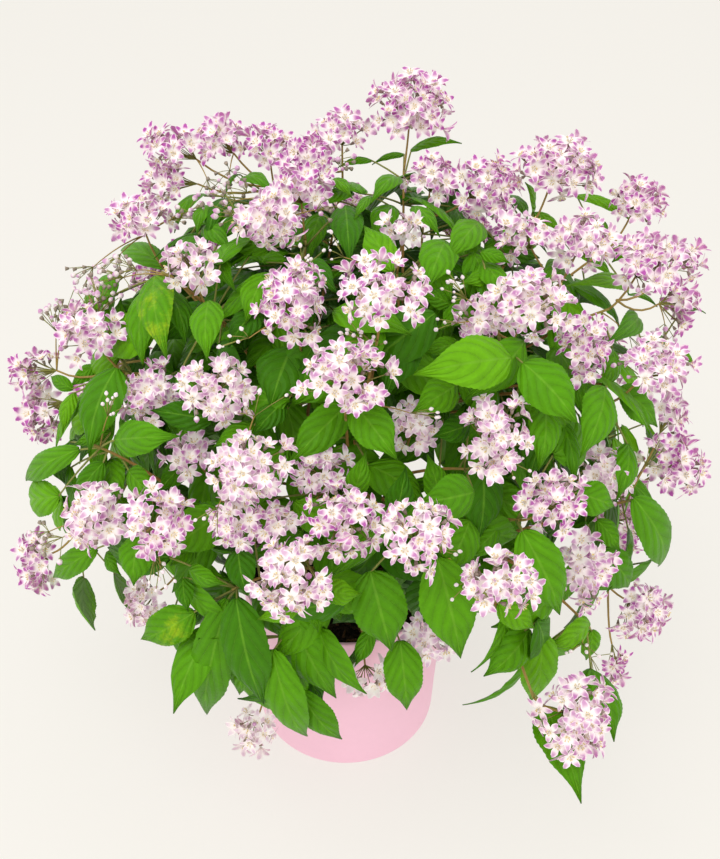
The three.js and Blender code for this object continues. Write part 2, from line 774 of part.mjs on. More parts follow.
function bladeSamples(blade) {
  const samples = PETIOLE_SHARES.map((share) => mix(blade.root, blade.foot, share));
  const rows = Math.ceil(blade.length / SAMPLE_STEP);
  for (let row = 1; row < rows; row += 1) {
    samples.push(...[-1, -0.5, 0, 0.5, 1].map((reach) => onBlade(blade, row / rows, reach)));
  }
  samples.push(blade.tip);
  return samples;
}

// How much room a blade has to spare from the heads, the stems of other canes and the leaves already placed.
function room(blade, placed) {
  const samples = bladeSamples(blade);
  let spare = Infinity;
  for (const sample of samples) {
    spare = Math.min(spare, clearOfHeads(sample));
    for (const { point, cane } of stems) {
      if (cane !== blade.cane) spare = Math.min(spare, point.distanceTo(sample) - STEM_CLEARANCE);
    }
    spare = Math.min(spare, sample.z - FLOOR_CLEARANCE);
    if (sample.z < POT_HEIGHT + RIM_CLEARANCE) {
      spare = Math.min(spare, Math.hypot(sample.x, sample.y) - POT_RIM_RADIUS - RIM_CLEARANCE);
    }
  }
  for (const other of placed) {
    const clearance = other.cane === blade.cane ? SAME_CANE_CLEARANCE : LEAF_CLEARANCE;
    for (const sample of samples.slice(1)) {
      for (const otherSample of other.samples.slice(1)) {
        spare = Math.min(spare, sample.distanceTo(otherSample) - clearance);
      }
    }
  }
  return spare;
}

// Leaves are placed one by one. Each of the studied side sinks along its sight line in small steps until it is
// clear. Those of the other sides spread by the golden angle, and none hides a head of the studied side.
function placeLeaves() {
  const placed = [];
  for (const [footColumn, footRow, tipColumn, tipRow, width, behind] of SEEN_LEAVES) {
    let best = null;
    for (let step = 0; step < PUSH_STEPS && !(best && best.spare >= 0); step += 1) {
      const depth = behind + step * PUSH_STEP;
      const foot = onDome(footColumn, footRow, depth + LEAF_FOOT_SINK);
      const tip = onDome(tipColumn, tipRow, depth);
      const facing = outOfDome(foot).addScaledVector(VIEW_EYE.clone().sub(tip).normalize(), LEAF_TO_VIEW);
      const blade = bladeAt(foot, tip, width, facing);
      const spare = room(blade, placed);
      if (!best || spare > best.spare) best = { ...blade, spare, samples: bladeSamples(blade) };
    }
    placed.push(best);
  }
  const draw = randomDraws(7);
  const about = (size) => size * (1 + FILL_SPREAD * (draw() - 0.5));
  for (let i = 0; i < FILL_LEAVES; i += 1) {
    const height = FILL_TOP - (FILL_SPAN * (i + 0.5)) / FILL_LEAVES;
    const around = Math.sqrt(1 - height * height);
    const outward = new THREE.Vector3(
      around * Math.cos(i * GOLDEN_ANGLE),
      around * Math.sin(i * GOLDEN_ANGLE),
      height,
    );
    const turn = (draw() - 0.5) * FILL_TURN;
    const length = about(FILL_LENGTH);
    const width = about(FILL_WIDTH);
    for (const depth of FILL_DEPTHS) {
      const middle = insideDome(outward, depth);
      if (turnedToView(middle) > FILL_FACING_LIMIT) break;
      const normal = outOfDome(middle);
      const [level, rise] = across(normal);
      const line = rise.multiplyScalar(-Math.cos(turn)).addScaledVector(level, Math.sin(turn));
      const foot = middle.clone()
        .addScaledVector(line, -length / 2)
        .addScaledVector(normal, -FILL_FOOT_SINK);
      const tip = middle.clone().addScaledVector(line, length / 2);
      const blade = bladeAt(foot, tip, width, normal);
      const samples = bladeSamples(blade);
      const shows = samples.slice(PETIOLE_SHARES.length).some(hidesHead);
      if (!shows && room(blade, placed) >= 0 && blade.petiole < LONGEST_PETIOLE) {
        placed.push({ ...blade, samples });
        break;
      }
    }
  }
  return placed;
}

const leaves = placeLeaves();

// A blade on its petiole, three-sided all along: the two edges, and the midrib that stands above them.
function bladeSolid(blade) {
  const line = blade.tip.clone().sub(blade.foot).normalize();
  const twig = blade.foot.clone().sub(blade.root).normalize();
  const around = (centre, way, radius) => {
    const turn = new THREE.Quaternion().setFromUnitVectors(line, way);
    const over = blade.normal.clone().applyQuaternion(turn);
    const beside = blade.side.clone().applyQuaternion(turn);
    return [0, 120, 240].map(THREE.MathUtils.degToRad).map((angle) => centre.clone()
      .addScaledVector(over, radius * Math.cos(angle))
      .addScaledVector(beside, radius * Math.sin(angle)));
  };
  const rings = [
    around(blade.root, twig, PETIOLE_ROOT),
    around(blade.foot, twig.clone().add(line).normalize(), PETIOLE_RADIUS),
  ];
  for (const share of blade.length > LONG_LEAF ? LONG_LEAF_ROWS : LEAF_ROWS) {
    rings.push([onBlade(blade, share, 0), onBlade(blade, share, 1), onBlade(blade, share, -1)]);
  }
  return loft([...rings, [blade.tip]]);
}

function caneSolid(cane, index) {
  return wasm.Manifold.union([
    stem(cane.bend, CANE_RADIUS, CANE_TIP_RADIUS, CANE_SIDES, CANE_STEPS),
    ...cane.shoots.map(
      (shoot, i) => stem(shoot, SHOOT_RADIUS, SHOOT_TIP_RADIUS, SHOOT_SIDES, SHOOT_STEPS, cane.ends[i].face),
    ),
    ...leaves.filter((leaf) => leaf.cane === index).map(bladeSolid),
  ]);
}

function groupSolid(group, index) {
  return wasm.Manifold.union(group.map((head, i) => {
    const flowers = Math.round((head.half[0] * head.half[1]) / FLOWER_AREA);
    return headSolid(head, Math.min(Math.max(flowers, FEWEST_FLOWERS), MOST_FLOWERS), index * 1.7 + i * 2.3);
  }));
}

function potSolid() {
  const profile = [
    [0, 0],
    [POT_FOOT_RADIUS - POT_EDGE, 0],
    [POT_FOOT_RADIUS, POT_EDGE],
    [POT_RIM_RADIUS, POT_HEIGHT - RIM_EDGE],
    [POT_RIM_RADIUS - RIM_EDGE, POT_HEIGHT],
    [POT_RIM_RADIUS - POT_WALL + RIM_EDGE, POT_HEIGHT],
    [POT_RIM_RADIUS - POT_WALL, POT_HEIGHT - RIM_EDGE],
    [POT_FOOT_RADIUS - POT_WALL, POT_FLOOR],
    [0, POT_FLOOR],
  ].map(([radius, height]) => new THREE.Vector2(radius, height));
  const geometry = new THREE.LatheGeometry(profile, POT_SIDES);
  geometry.rotateX(Math.PI / 2);
  return solidOfGeometry(geometry);
}

// Half the width inside the pot at a height, less the gap that keeps the soil off the wall.
function soilRadius(height) {
  const share = (height - POT_FLOOR) / (POT_HEIGHT - RIM_EDGE - POT_FLOOR);
  return POT_FOOT_RADIUS - POT_WALL + (POT_RIM_RADIUS - POT_FOOT_RADIUS) * share - FIT_GAP;
}

function soilSolid() {
  const draw = randomDraws(3);
  const ringAt = (radius, height, relief) => Array.from({ length: POT_SIDES }, (_, side) => {
    const angle = (2 * Math.PI * side) / POT_SIDES;
    const raised = height + (draw() - 0.5) * relief;
    return new THREE.Vector3(radius * Math.cos(angle), radius * Math.sin(angle), raised);
  });
  const floor = POT_FLOOR + FIT_GAP;
  const mass = loft([
    ringAt(soilRadius(floor), floor, 0),
    ringAt(soilRadius(SOIL_TOP), SOIL_TOP - SOIL_RELIEF, 0),
    ringAt(SOIL_MOUND_RADIUS, SOIL_TOP, SOIL_RELIEF),
    [new THREE.Vector3(0, 0, SOIL_TOP + SOIL_RELIEF)],
  ]);
  const holes = canes.map((cane) => loft([
    ringOn(cane.bend, 0, CANE_RADIUS + FIT_GAP, CANE_SIDES, { setback: FIT_GAP }),
    ringOn(cane.bend, 1 / CANE_STEPS, CANE_RADIUS + FIT_GAP, CANE_SIDES),
  ]));
  return mass.subtract(wasm.Manifold.union(holes));
}

function meshOf(name, solid, colour, roughness) {
  const { vertProperties, triVerts } = solid.getMesh();
  const indexed = new THREE.BufferGeometry();
  indexed.setAttribute('position', new THREE.BufferAttribute(vertProperties, 3));
  indexed.setIndex(new THREE.BufferAttribute(triVerts, 1));
  const geometry = indexed.toNonIndexed();
  geometry.computeVertexNormals();
  const mesh = new THREE.Mesh(geometry, new THREE.MeshStandardMaterial({ color: colour, roughness }));
  mesh.name = name;
  return mesh;
}

function numbered(stem, index) {
  return `${stem}_${String(index + 1).padStart(2, '0')}`;
}

const group = new THREE.Group();
group.name = 'potted_deutzia';
group.add(meshOf('pot', potSolid(), POT_COLOUR, 0.75));
group.add(meshOf('soil', soilSolid(), SOIL_COLOUR, 0.95));
canes.forEach((cane, i) => {
  const colour = LEAF_COLOURS[i % LEAF_COLOURS.length];
  group.add(meshOf(numbered('leafy_cane', i), caneSolid(cane, i), colour, 0.55));
});
headGroups.forEach((heads, i) => {
  const colour = FLOWER_COLOURS[i % FLOWER_COLOURS.length];
  group.add(meshOf(numbered('flower_head', i), groupSolid(heads, i), colour, 0.7));
});

export default group;
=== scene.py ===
"""The looks of a potted deutzia: a plain pink pot, bark compost, arching leafy canes and star flowers.

Lengths are in metres, +Z is up, and the origin is the centre of the pot's foot.
"""
import math
from dataclasses import dataclass, replace
from functools import lru_cache

import bpy
import numpy as np
from bpy.props import FloatProperty, FloatVectorProperty, IntProperty, PointerProperty
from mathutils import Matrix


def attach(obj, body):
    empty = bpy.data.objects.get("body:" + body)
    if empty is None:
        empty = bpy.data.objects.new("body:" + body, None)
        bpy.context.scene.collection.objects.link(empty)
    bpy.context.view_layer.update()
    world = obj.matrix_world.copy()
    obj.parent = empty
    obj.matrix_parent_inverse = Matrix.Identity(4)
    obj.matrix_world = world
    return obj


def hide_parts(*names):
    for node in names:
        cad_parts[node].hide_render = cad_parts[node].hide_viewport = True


bl_info = {
    "name": "Potted Deutzia",
    "version": (1, 0, 0),
    "blender": (4, 5, 0),
    "location": "View3D > Sidebar > Deutzia",
    "description": "Builds a flowering deutzia in a plain pot around its packed solids",
    "category": "Add Mesh",
}

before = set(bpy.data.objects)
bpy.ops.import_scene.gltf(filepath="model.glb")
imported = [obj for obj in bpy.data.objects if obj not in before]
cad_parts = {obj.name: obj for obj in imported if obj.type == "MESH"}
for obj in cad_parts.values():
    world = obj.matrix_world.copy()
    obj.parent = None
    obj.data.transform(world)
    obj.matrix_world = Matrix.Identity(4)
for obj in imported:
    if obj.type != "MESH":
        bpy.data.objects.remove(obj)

MM = 0.001
GOLDEN_ANGLE = math.pi * (3 - math.sqrt(5))

# The rounded outline that the leaves and flower heads follow.
DOME_CENTRE = np.array((0.005, 0.041, 0.266))
DOME_RADII = np.array((0.284, 0.252, 0.263))

# The viewpoint that the seen leaves and heads are placed from: columns and rows are in a frame 720 wide and
# 859 high.
VIEW_EYE = np.array((0.014, -0.638, 0.803))
VIEW_TILT = math.radians(36.2)
VIEW_FOCAL = 950.0
VIEW_SIZE = (720, 859)
VIEW_RIGHT = np.array((1.0, 0.0, 0.0))
VIEW_UP = np.array((0.0, math.sin(VIEW_TILT), math.cos(VIEW_TILT)))
VIEW_FORWARD = np.array((0.0, math.cos(VIEW_TILT), -math.sin(VIEW_TILT)))
SENSOR = 36.0

# Pot and soil.
POT_HEIGHT = 0.179
POT_WALL = 0.0035
POT_FLOOR = 0.005
SOIL_TOP = 0.160
FIT_GAP = 0.0003

# Canes: azimuth and elevation in degrees of the part of the dome that each one serves.
CANES = (
    (-90, 12), (-38, 12), (10, 14), (62, 14), (118, 14),
    (170, 14), (-142, 12), (-90, 58), (20, 60), (150, 60),
)
CANE_BASE_SPREAD = 0.034
CANE_DEPTH_IN_SOIL = 0.018
CANE_RADIUS = 0.0036
TRUNK_RADII = (0.0034, 0.0020)
CANE_RISE = 0.045
CANE_REACH = 0.62
CANE_LEAN = 0.012
CANE_UPRIGHT = 0.110
CANE_STEPS = 5
FIRST_SHOOT = 0.6
LAST_SHOOT = 0.96
SHOOT_RADIUS = 0.0021
SHOOT_RADII = (0.0015, 0.0010)
SHOOT_STEPS = 3
SHOOT_SAG = 0.16
HEART = np.array((0.002, 0.025, 0.190))
SOIL_REACH = 0.078
RIM_CLEARANCE = 0.004

# Shares of a stem's length where it is kept clear, kept off by others, and can bear a leaf.
BEND_SHARES = 0.15 + 0.1 * np.arange(9)
STEM_SHARES = np.array((0.2, 0.35, 0.5, 0.65, 0.8, 0.95))
BEARING_SHARES = 0.16 + 0.05 * np.arange(17)
STALK_SHARES = 0.06 * np.arange(15)

# How far aside and how far up the middle of a stem is moved, in the order tried, in mm.
BEND_TRIALS = (
    (0, 0), (0, -14), (14, 0), (-14, 0), (0, 16), (22, -14), (-22, -14), (30, 0), (-30, 0),
    (0, -34), (34, -30), (-34, -30), (0, 34), (50, 0), (-50, 0), (0, -60), (45, 45), (-45, 45),
)

# Flower heads.
STALK_LENGTH = 0.024
STALK_DROP = -0.35
STALK_LIFT = 0.75
FORK_SHARE = 0.2
HUB_SHARE = 0.75
LOW_HEAD = 0.235
HEAD_FILL = 0.94
HEAD_DEPTH = 0.42
SEEN_LEAN = 0.5
HIDDEN_HEADS = 10
HIDDEN_HALF = np.array((0.027, 0.023, 0.020))
HIDDEN_TOP = 0.9
HIDDEN_STEP_DOWN = 0.0105
HIDDEN_LEAN = 0.4
HIDDEN_DEPTH = 0.94
HIDDEN_FACING_LIMIT = -0.22
HIDDEN_SPACING = 0.104
SEEN_SPACING = 0.084
COMPANION_REACH = 0.044
COMPANION_SINK = 0.008
COMPANION_SIZE = 0.76

# Leaves.
LEAF_DROP = 0.0009
LEAF_FOLD = 0.12
VEIN_PAIRS = 5.0
VEIN_SLANT = 2.1
VEIN_CURVE = 1.25
LEAF_ARCH = 0.11
LEAF_CLEARANCE = 0.007
SAME_CANE_CLEARANCE = 0.0035
STEM_CLEARANCE = 0.005
SAMPLE_STEP = 0.009
FLOOR_CLEARANCE = 0.012
HEAD_CLEARANCE = 1.16
PUSH_STEP = 0.006
PUSH_STEPS = 16
LEAF_FOOT_SINK = 0.014
LEAF_TO_VIEW = 0.9
FILL_LEAVES = 95
FILL_TOP = 0.97
FILL_SPAN = 1.6
FILL_DEPTHS = (0.98, 0.95, 0.92, 0.89, 0.86, 0.83)
FILL_TURN = 2.6
FILL_LENGTH = 0.066
FILL_WIDTH = 0.036
FILL_SPREAD = 0.4
FILL_FOOT_SINK = 0.010
FILL_FACING_LIMIT = 0.2
LONGEST_PETIOLE = 0.075
BACK_SHOOT_REACH = 0.8
INNER_TOP = 0.94
INNER_SPAN = 1.45
INNER_CROWDING = 1.3
INNER_DEPTHS = (0.5, 0.94)
INNER_TILT = 0.35
INNER_TURN = 1.3
INNER_LENGTHS = (0.05, 0.075)
INNER_WIDTHS = (0.024, 0.036)
INNER_OVER_RIM = 0.012
INNER_FROM_RIM = 0.03
LOW_INNER_LEAF = 0.185

LEAF_TOOTH = 0.035
OUTER_LEAF_GRID = (37, 7)
INNER_LEAF_GRID = (12, 5)

# Flowers: how many a head has, and how they spread over it and tilt.
FLOWER_COUNTS = (4, 40)
FLOWER_SCATTER = 0.12
FLOWER_SHELL = (0.68, 1.08)
FLOWER_OUTWARD = 0.4
FLOWER_TILT = 0.34
CLOSED_FLOWERS = 0.08
FAR_HEAD_DEEPER = 0.3

# One flower.
PETAL_SHARES = np.array((0.0, 0.25, 0.53, 0.81, 1.0))
PETAL_SLOPES = (0.15, 1.5)
PETAL_HALF = 0.235
STAMENS = 6

# Shares along a bud where its rings lie, and its sides.
BUD_SHARES = np.array((0.14, 0.36, 0.6, 0.84))
BUD_SIDES = 6

# Each row is one group of heads that touch. A head is its column, its row, and in mm its half width, its half
# height and how far behind the dome it lies.
SEEN_HEADS = (
    ((411, 110, 34, 31, 20),),
    ((342, 133, 23, 18, 40), (312, 160, 25, 22, 0)),
    ((300, 190, 23, 19, 20), (268, 222, 25, 20, 5)),
    ((268, 148, 24, 20, 40), (220, 142, 21, 20, 50), (170, 150, 23, 17, 50), (172, 183, 21, 16, 60)),
    ((140, 223, 25, 19, -20),),
    ((190, 268, 19, 18, 0),),
    ((293, 303, 24, 29, -5),),
    ((382, 293, 28, 21, -50),),
    ((403, 232, 16, 12, 60),),
    ((432, 180, 19, 19, 20), (485, 190, 28, 29, -25)),
    ((556, 172, 33, 26, -5),),
    ((638, 205, 22, 25, 40),),
    ((582, 245, 25, 23, -70), (522, 237, 22, 16, 5)),
    ((645, 265, 24, 26, -60), (683, 262, 15, 15, 50), (672, 305, 17, 23, 30)),
    ((532, 303, 29, 23, -20), (484, 322, 19, 18, 30)),
    ((583, 350, 17, 25, 10),),
    ((652, 368, 27, 22, -70),),
    ((90, 335, 25, 21, 0), (38, 372, 22, 17, 0), (46, 413, 20, 24, 80)),
    ((152, 395, 22, 23, 50), (217, 392, 25, 23, 20)),
    ((345, 378, 31, 23, -15),),
    ((192, 457, 18, 16, 70), (250, 468, 28, 24, 0), (235, 520, 18, 20, 30)),
    ((413, 428, 17, 18, 60),),
    ((495, 440, 24, 30, 5),),
    ((553, 503, 22, 21, -5),),
    ((605, 475, 20, 22, 50),),
    ((672, 465, 29, 23, 25), (668, 418, 14, 24, 90)),
    ((97, 518, 23, 26, 0), (161, 522, 21, 25, 0)),
    ((40, 560, 17, 28, 80),),
    ((148, 600, 17, 23, 160),),
    ((322, 472, 20, 17, 50), (345, 522, 25, 24, 0), (278, 520, 13, 14, 40), (292, 577, 26, 26, -25)),
    ((418, 537, 22, 24, -40),),
    ((498, 584, 23, 20, -55),),
    ((585, 572, 19, 29, 25),),
    ((637, 608, 25, 26, 20), (613, 663, 10, 20, 80)),
    ((575, 716, 25, 29, -150),),
    ((427, 640, 18, 15, 60),),
    ((366, 676, 19, 13, 130),),
    ((255, 726, 17, 21, 120),),
)

# Groups of that table whose flowers are paler, and how far.
PALE_HEADS = {5: 0.3, 8: 0.4, 21: 0.4, 24: 0.35, 28: 0.35, 35: 0.35, 36: 0.8, 37: 0.6}

# Each row is one leaf: foot column and row, tip column and row, width in mm, mm behind the dome.
SEEN_LEAVES = (
    (410, 150, 461, 141, 19, 20), (405, 154, 372, 163, 10, 20), (372, 160, 338, 166, 11, 30),
    (575, 195, 633, 221, 19, 15), (533, 212, 562, 232, 16, 30), (628, 290, 563, 287, 17, 10),
    (634, 318, 607, 345, 21, 20), (680, 312, 706, 311, 10, 0), (665, 345, 697, 366, 16, 20),
    (664, 340, 640, 346, 11, 20), (170, 268, 120, 250, 22, 12), (155, 275, 166, 358, 30, 0),
    (209, 300, 206, 358, 24, 5), (392, 272, 364, 223, 23, 10), (512, 358, 417, 373, 37, -10),
    (522, 362, 578, 424, 36, -5), (350, 402, 287, 466, 28, 5), (355, 405, 397, 459, 29, 5),
    (114, 440, 178, 436, 26, 8), (80, 449, 25, 481, 21, 10), (112, 432, 72, 446, 11, 5),
    (74, 392, 62, 433, 15, 12), (97, 366, 70, 386, 16, 15), (73, 389, 50, 376, 12, 15),
    (437, 557, 461, 659, 40, -10), (522, 530, 562, 617, 34, -5), (475, 492, 418, 503, 31, 5),
    (482, 490, 535, 518, 28, 10), (605, 386, 580, 458, 30, 5), (620, 388, 657, 427, 28, 5),
    (633, 497, 663, 569, 34, 10), (576, 492, 617, 507, 26, 15), (272, 498, 232, 542, 23, 0),
    (97, 548, 54, 577, 21, 10), (106, 552, 119, 575, 14, 20), (140, 535, 133, 586, 27, 10),
    (195, 612, 139, 641, 30, 30), (228, 597, 204, 721, 34, 30), (236, 597, 264, 704, 35, 20),
    (272, 648, 307, 745, 30, 20), (290, 612, 336, 699, 36, 35), (300, 690, 342, 741, 26, 45),
    (300, 604, 257, 620, 16, 5), (325, 590, 361, 594, 19, 10), (312, 606, 318, 632, 10, 10),
    (370, 570, 392, 653, 39, 10), (400, 640, 407, 711, 30, 40), (530, 628, 485, 678, 32, 20),
    (498, 603, 536, 630, 20, 0), (541, 632, 530, 701, 31, 10), (543, 705, 582, 801, 34, -120),
    (590, 668, 615, 741, 34, -40), (188, 569, 225, 585, 15, 20), (183, 577, 188, 612, 15, 25),
    (602, 550, 632, 590, 28, 25), (470, 520, 443, 575, 29, 15), (545, 402, 540, 470, 25, 15),
    (210, 252, 235, 290, 18, 30), (292, 347, 270, 409, 40, 20), (214, 420, 150, 410, 22, 10),
    (117, 367, 86, 452, 35, 20), (122, 360, 120, 296, 21, 20), (104, 462, 74, 503, 19, 25),
    (110, 458, 122, 503, 22, 25), (284, 402, 253, 434, 19, 25), (457, 385, 413, 412, 26, 35),
    (395, 518, 406, 468, 20, 30), (352, 500, 366, 452, 17, 30), (372, 512, 402, 548, 19, 30),
    (410, 325, 385, 398, 32, 35), (445, 240, 425, 290, 30, 40), (480, 252, 510, 262, 14, 25),
    (482, 262, 505, 298, 22, 40), (450, 305, 418, 292, 16, 40), (462, 345, 420, 352, 16, 30),
    (322, 212, 308, 262, 22, 45), (345, 205, 350, 265, 26, 50), (268, 272, 245, 322, 26, 45),
    (258, 310, 228, 346, 22, 40), (128, 470, 158, 497, 20, 35), (190, 460, 157, 493, 19, 45),
    (222, 512, 168, 552, 34, 35), (196, 545, 170, 566, 16, 40), (255, 425, 213, 447, 17, 40),
    (470, 425, 433, 437, 20, 35), (560, 417, 577, 486, 16, 30), (597, 520, 620, 550, 18, 45),
    (628, 443, 618, 500, 21, 30), (250, 640, 238, 698, 26, 50), (305, 660, 323, 704, 18, 45),
    (372, 628, 355, 667, 14, 45), (590, 622, 548, 648, 25, 20), (592, 630, 586, 660, 19, 10),
    (500, 525, 462, 560, 20, 45), (440, 500, 428, 455, 19, 45),
)

# Rows of that table whose leaves have begun to yellow, and how far.
YELLOWING_LEAVES = {11: 0.52, 13: 0.4, 36: 0.5}

# How light the green of others of those rows is, from 0 to 1.
LEAF_TINTS = {
    10: 0.6, 11: 0.7, 12: 0.75, 13: 0.85, 14: 0.95, 15: 0.45, 16: 0.4, 17: 0.5, 18: 0.45, 19: 0.7, 24: 0.55,
    25: 0.6, 26: 0.35, 27: 0.6, 28: 0.6, 30: 0.4, 32: 0.8, 33: 0.75, 36: 0.5, 37: 0.35, 38: 0.15, 39: 0.7,
    40: 0.45, 41: 0.4, 42: 1.0, 43: 0.95, 45: 0.35, 46: 0.5, 47: 0.65, 48: 0.9, 49: 0.9, 50: 0.45, 51: 0.4,
}

# Darker leaves between and behind those, in the same way, that only the finer model has.
SHADED_LEAVES = (
    (242, 182, 274, 189, 17, 30), (242, 175, 222, 199, 5, 30), (352, 190, 320, 208, 18, 45),
    (372, 196, 353, 222, 9, 45), (399, 178, 371, 201, 18, 45), (272, 248, 222, 244, 20, 40),
    (300, 260, 338, 294, 22, 45), (222, 237, 244, 210, 14, 45), (412, 206, 440, 234, 15, 50),
    (533, 212, 527, 182, 24, 35), (580, 252, 613, 279, 18, 45), (628, 294, 658, 304, 13, 40),
    (480, 222, 446, 262, 26, 45), (500, 278, 460, 284, 18, 50), (613, 348, 602, 394, 18, 45),
    (330, 180, 352, 196, 14, 50), (392, 205, 372, 240, 22, 60), (452, 206, 462, 240, 16, 55),
    (300, 225, 268, 250, 20, 55), (210, 205, 196, 232, 16, 40), (560, 262, 540, 290, 18, 50),
    (205, 225, 232, 252, 18, 55), (505, 195, 528, 222, 18, 45), (640, 240, 612, 262, 18, 60),
    (240, 205, 215, 225, 12, 55), (590, 215, 612, 236, 12, 40), (180, 240, 205, 262, 18, 50),
    (425, 262, 452, 300, 26, 60), (470, 300, 440, 330, 24, 65), (365, 300, 340, 345, 26, 65),
    (205, 195, 173, 228, 18, 50), (228, 198, 206, 238, 20, 50), (238, 548, 246, 596, 22, 30),
)

# Ends of shoots that bear leaves only: column, row, mm behind the dome.
LEAFY_SHOOTS = (
    (162, 272, 22), (393, 275, 40), (352, 403, 45), (94, 445, 35), (232, 590, 50), (282, 640, 60),
    (300, 605, 45), (395, 628, 75), (633, 500, 45), (618, 388, 40), (668, 338, 50), (590, 628, 40),
)

# Sprays of round buds, and then of bare cups, each as column, row, mm behind the dome and number.
BUD_SPRAYS = (
    (457, 288, 20, 9), (447, 322, 20, 5), (305, 255, 10, 6), (235, 345, 10, 5), (350, 335, 10, 9),
    (110, 407, 5, 9), (258, 403, 10, 5), (210, 520, 15, 5), (443, 553, 0, 5), (466, 588, 0, 6),
    (580, 655, 0, 6), (592, 664, 0, 5), (155, 572, 5, 5), (163, 579, 5, 3), (425, 415, 25, 4),
    (330, 250, 20, 4), (640, 345, 10, 4), (520, 470, 20, 3), (372, 345, 15, 5),
)
CUP_SPRAYS = (
    (56, 318, 0, 12), (66, 304, 0, 12), (84, 297, 0, 14), (100, 290, 0, 14), (82, 274, 5, 12),
    (98, 300, 5, 12), (112, 278, 5, 12), (125, 268, 5, 12), (110, 262, 5, 10), (40, 533, 0, 8),
    (52, 541, 0, 7), (652, 455, 0, 8), (345, 160, 10, 10), (330, 205, 20, 9), (225, 215, 15, 10),
    (235, 190, 20, 9), (668, 335, 5, 8), (228, 178, 25, 10), (182, 214, 20, 10), (200, 206, 25, 10),
    (222, 200, 25, 10), (212, 188, 25, 8),
)

# Ends of more such shoots on the sides that were not studied: azimuth and elevation in degrees.
BACK_SHOOTS = (
    (5, 2), (32, 24), (48, -4), (66, 38), (84, 10), (104, 46), (112, -8), (128, 22), (150, 2), (172, 26),
)


def unit(vectors):
    """Each vector at length 1."""
    vectors = np.asarray(vectors, float)
    return vectors / np.maximum(np.linalg.norm(vectors, axis=-1, keepdims=True), 1e-12)


def draws(seed):
    """Seeded draws between 0 and 1 from a linear congruence, the same that placed the solids."""
    state = seed
    while True:
        state = (state * 1664525 + 1013904223) & 0xFFFFFFFF
        yield state / 4294967296


def mix(a, b, share):
    """The point so far along the straight way from a to b."""
    return a + (b - a) * share


def bend(line, share):
    """A point of the quadratic bend through start, middle and end; share may be an array."""
    start, middle, end = line
    share = np.asarray(share, float)[..., None]
    return mix(mix(start, middle, share), mix(middle, end, share), share)


def on_dome(column, row, behind):
    """Where the sight line of a column and row meets the dome, or comes nearest to it, then so far behind."""
    line = unit(
        VIEW_FORWARD * VIEW_FOCAL
        + VIEW_RIGHT * (column - VIEW_SIZE[0] / 2)
        + VIEW_UP * (VIEW_SIZE[1] / 2 - row)
    )
    start = (VIEW_EYE - DOME_CENTRE) / DOME_RADII
    slope = line / DOME_RADII
    a, b, c = slope @ slope, start @ slope, start @ start - 1
    reach = (-b - math.sqrt(max(b * b - a * c, 0))) / a
    return VIEW_EYE + line * (reach + behind)


def direction(azimuth, elevation):
    """A direction by azimuth and elevation in degrees."""
    around, above = math.radians(azimuth), math.radians(elevation)
    return np.array((math.cos(above) * math.cos(around), math.cos(above) * math.sin(around), math.sin(above)))


def golden_way(index, height):
    """Where place number index of a golden-angle spiral lies on a ball of radius 1, at a height."""
    ring, angle = math.sqrt(1 - height * height), index * GOLDEN_ANGLE
    return np.array((ring * math.cos(angle), ring * math.sin(angle), height))


def turned(first, second, angle):
    """Directions at each angle from the first of two directions towards the second."""
    return np.cos(angle)[..., None] * first + np.sin(angle)[..., None] * second


def unit_ring(sides):
    """Points around a circle of radius 1."""
    angle = np.arange(sides) * 2 * np.pi / sides
    return np.stack([np.cos(angle), np.sin(angle)], axis=-1)


def inside_dome(outward, share):
    """A point so far along the way from the dome's centre out to its surface."""
    return outward * DOME_RADII * share + DOME_CENTRE


def out_of_dome(point):
    """The direction straight out of the dome at a point: the gradient of its ellipsoid."""
    return unit((point - DOME_CENTRE) / DOME_RADII / DOME_RADII)


def turned_to_view(point):
    """1 where the dome is turned straight at the viewpoint, under 0 where it is out of sight."""
    return unit(VIEW_EYE - point) @ out_of_dome(point)


def across(line):
    """Two directions across a line, the first of them level where it can be."""
    upright = np.array((0.0, 1.0, 0.0)) if abs(line[2]) > 0.95 else np.array((0.0, 0.0, 1.0))
    level = unit(np.cross(upright, line))
    return level, np.cross(line, level)


def turned_across(normal, turn):
    """The direction across a normal that points down it when turn is 0."""
    level, rise = across(normal)
    return level * math.sin(turn) - rise * math.cos(turn)


def along_stem(line, steps, share):
    """The middle of a stem that is drawn in straight steps, so far along it."""
    share = np.asarray(share, float)
    step = np.minimum(np.floor(share * steps), steps - 1)
    return mix(bend(line, step / steps), bend(line, (step + 1) / steps), (share * steps - step)[..., None])


@dataclass
class Head:
    """A flower head: an ellipsoid on its own axes, the way it faces and where its stalk ends."""

    centre: np.ndarray
    axes: np.ndarray
    half: np.ndarray
    lean: float
    joint: np.ndarray = None
    facing: np.ndarray = None

    def local(self, points):
        """Points in the head's own sizes, where it is a ball of radius 1."""
        return (points - self.centre) @ self.axes.T / self.half

    def world(self, points):
        """The way back from the head's own sizes."""
        return self.centre + (points * self.half) @ self.axes


def facing_out(head):
    """Turns a head away from its joint, leaning towards its own third axis."""
    outward = unit(head.centre - head.joint)
    return replace(head, facing=unit(outward + head.axes[2] * head.lean))


def head_at(centre, axes, half, lean):
    """A head whose stalk runs in towards the heart of the plant."""
    inward = unit(HEART - centre)
    inward[2] += STALK_DROP if centre[2] > LOW_HEAD else STALK_LIFT
    joint = centre + unit(inward) * (half[2] + STALK_LENGTH)
    return facing_out(Head(centre, np.array(axes), np.array(half), lean, joint))


def branched(group):
    """The other heads of a group branch off the stalk of the first."""
    first, *others = group
    fork = mix(first.joint, first.centre, FORK_SHARE)
    return [first, *(facing_out(replace(head, joint=fork)) for head in others)]


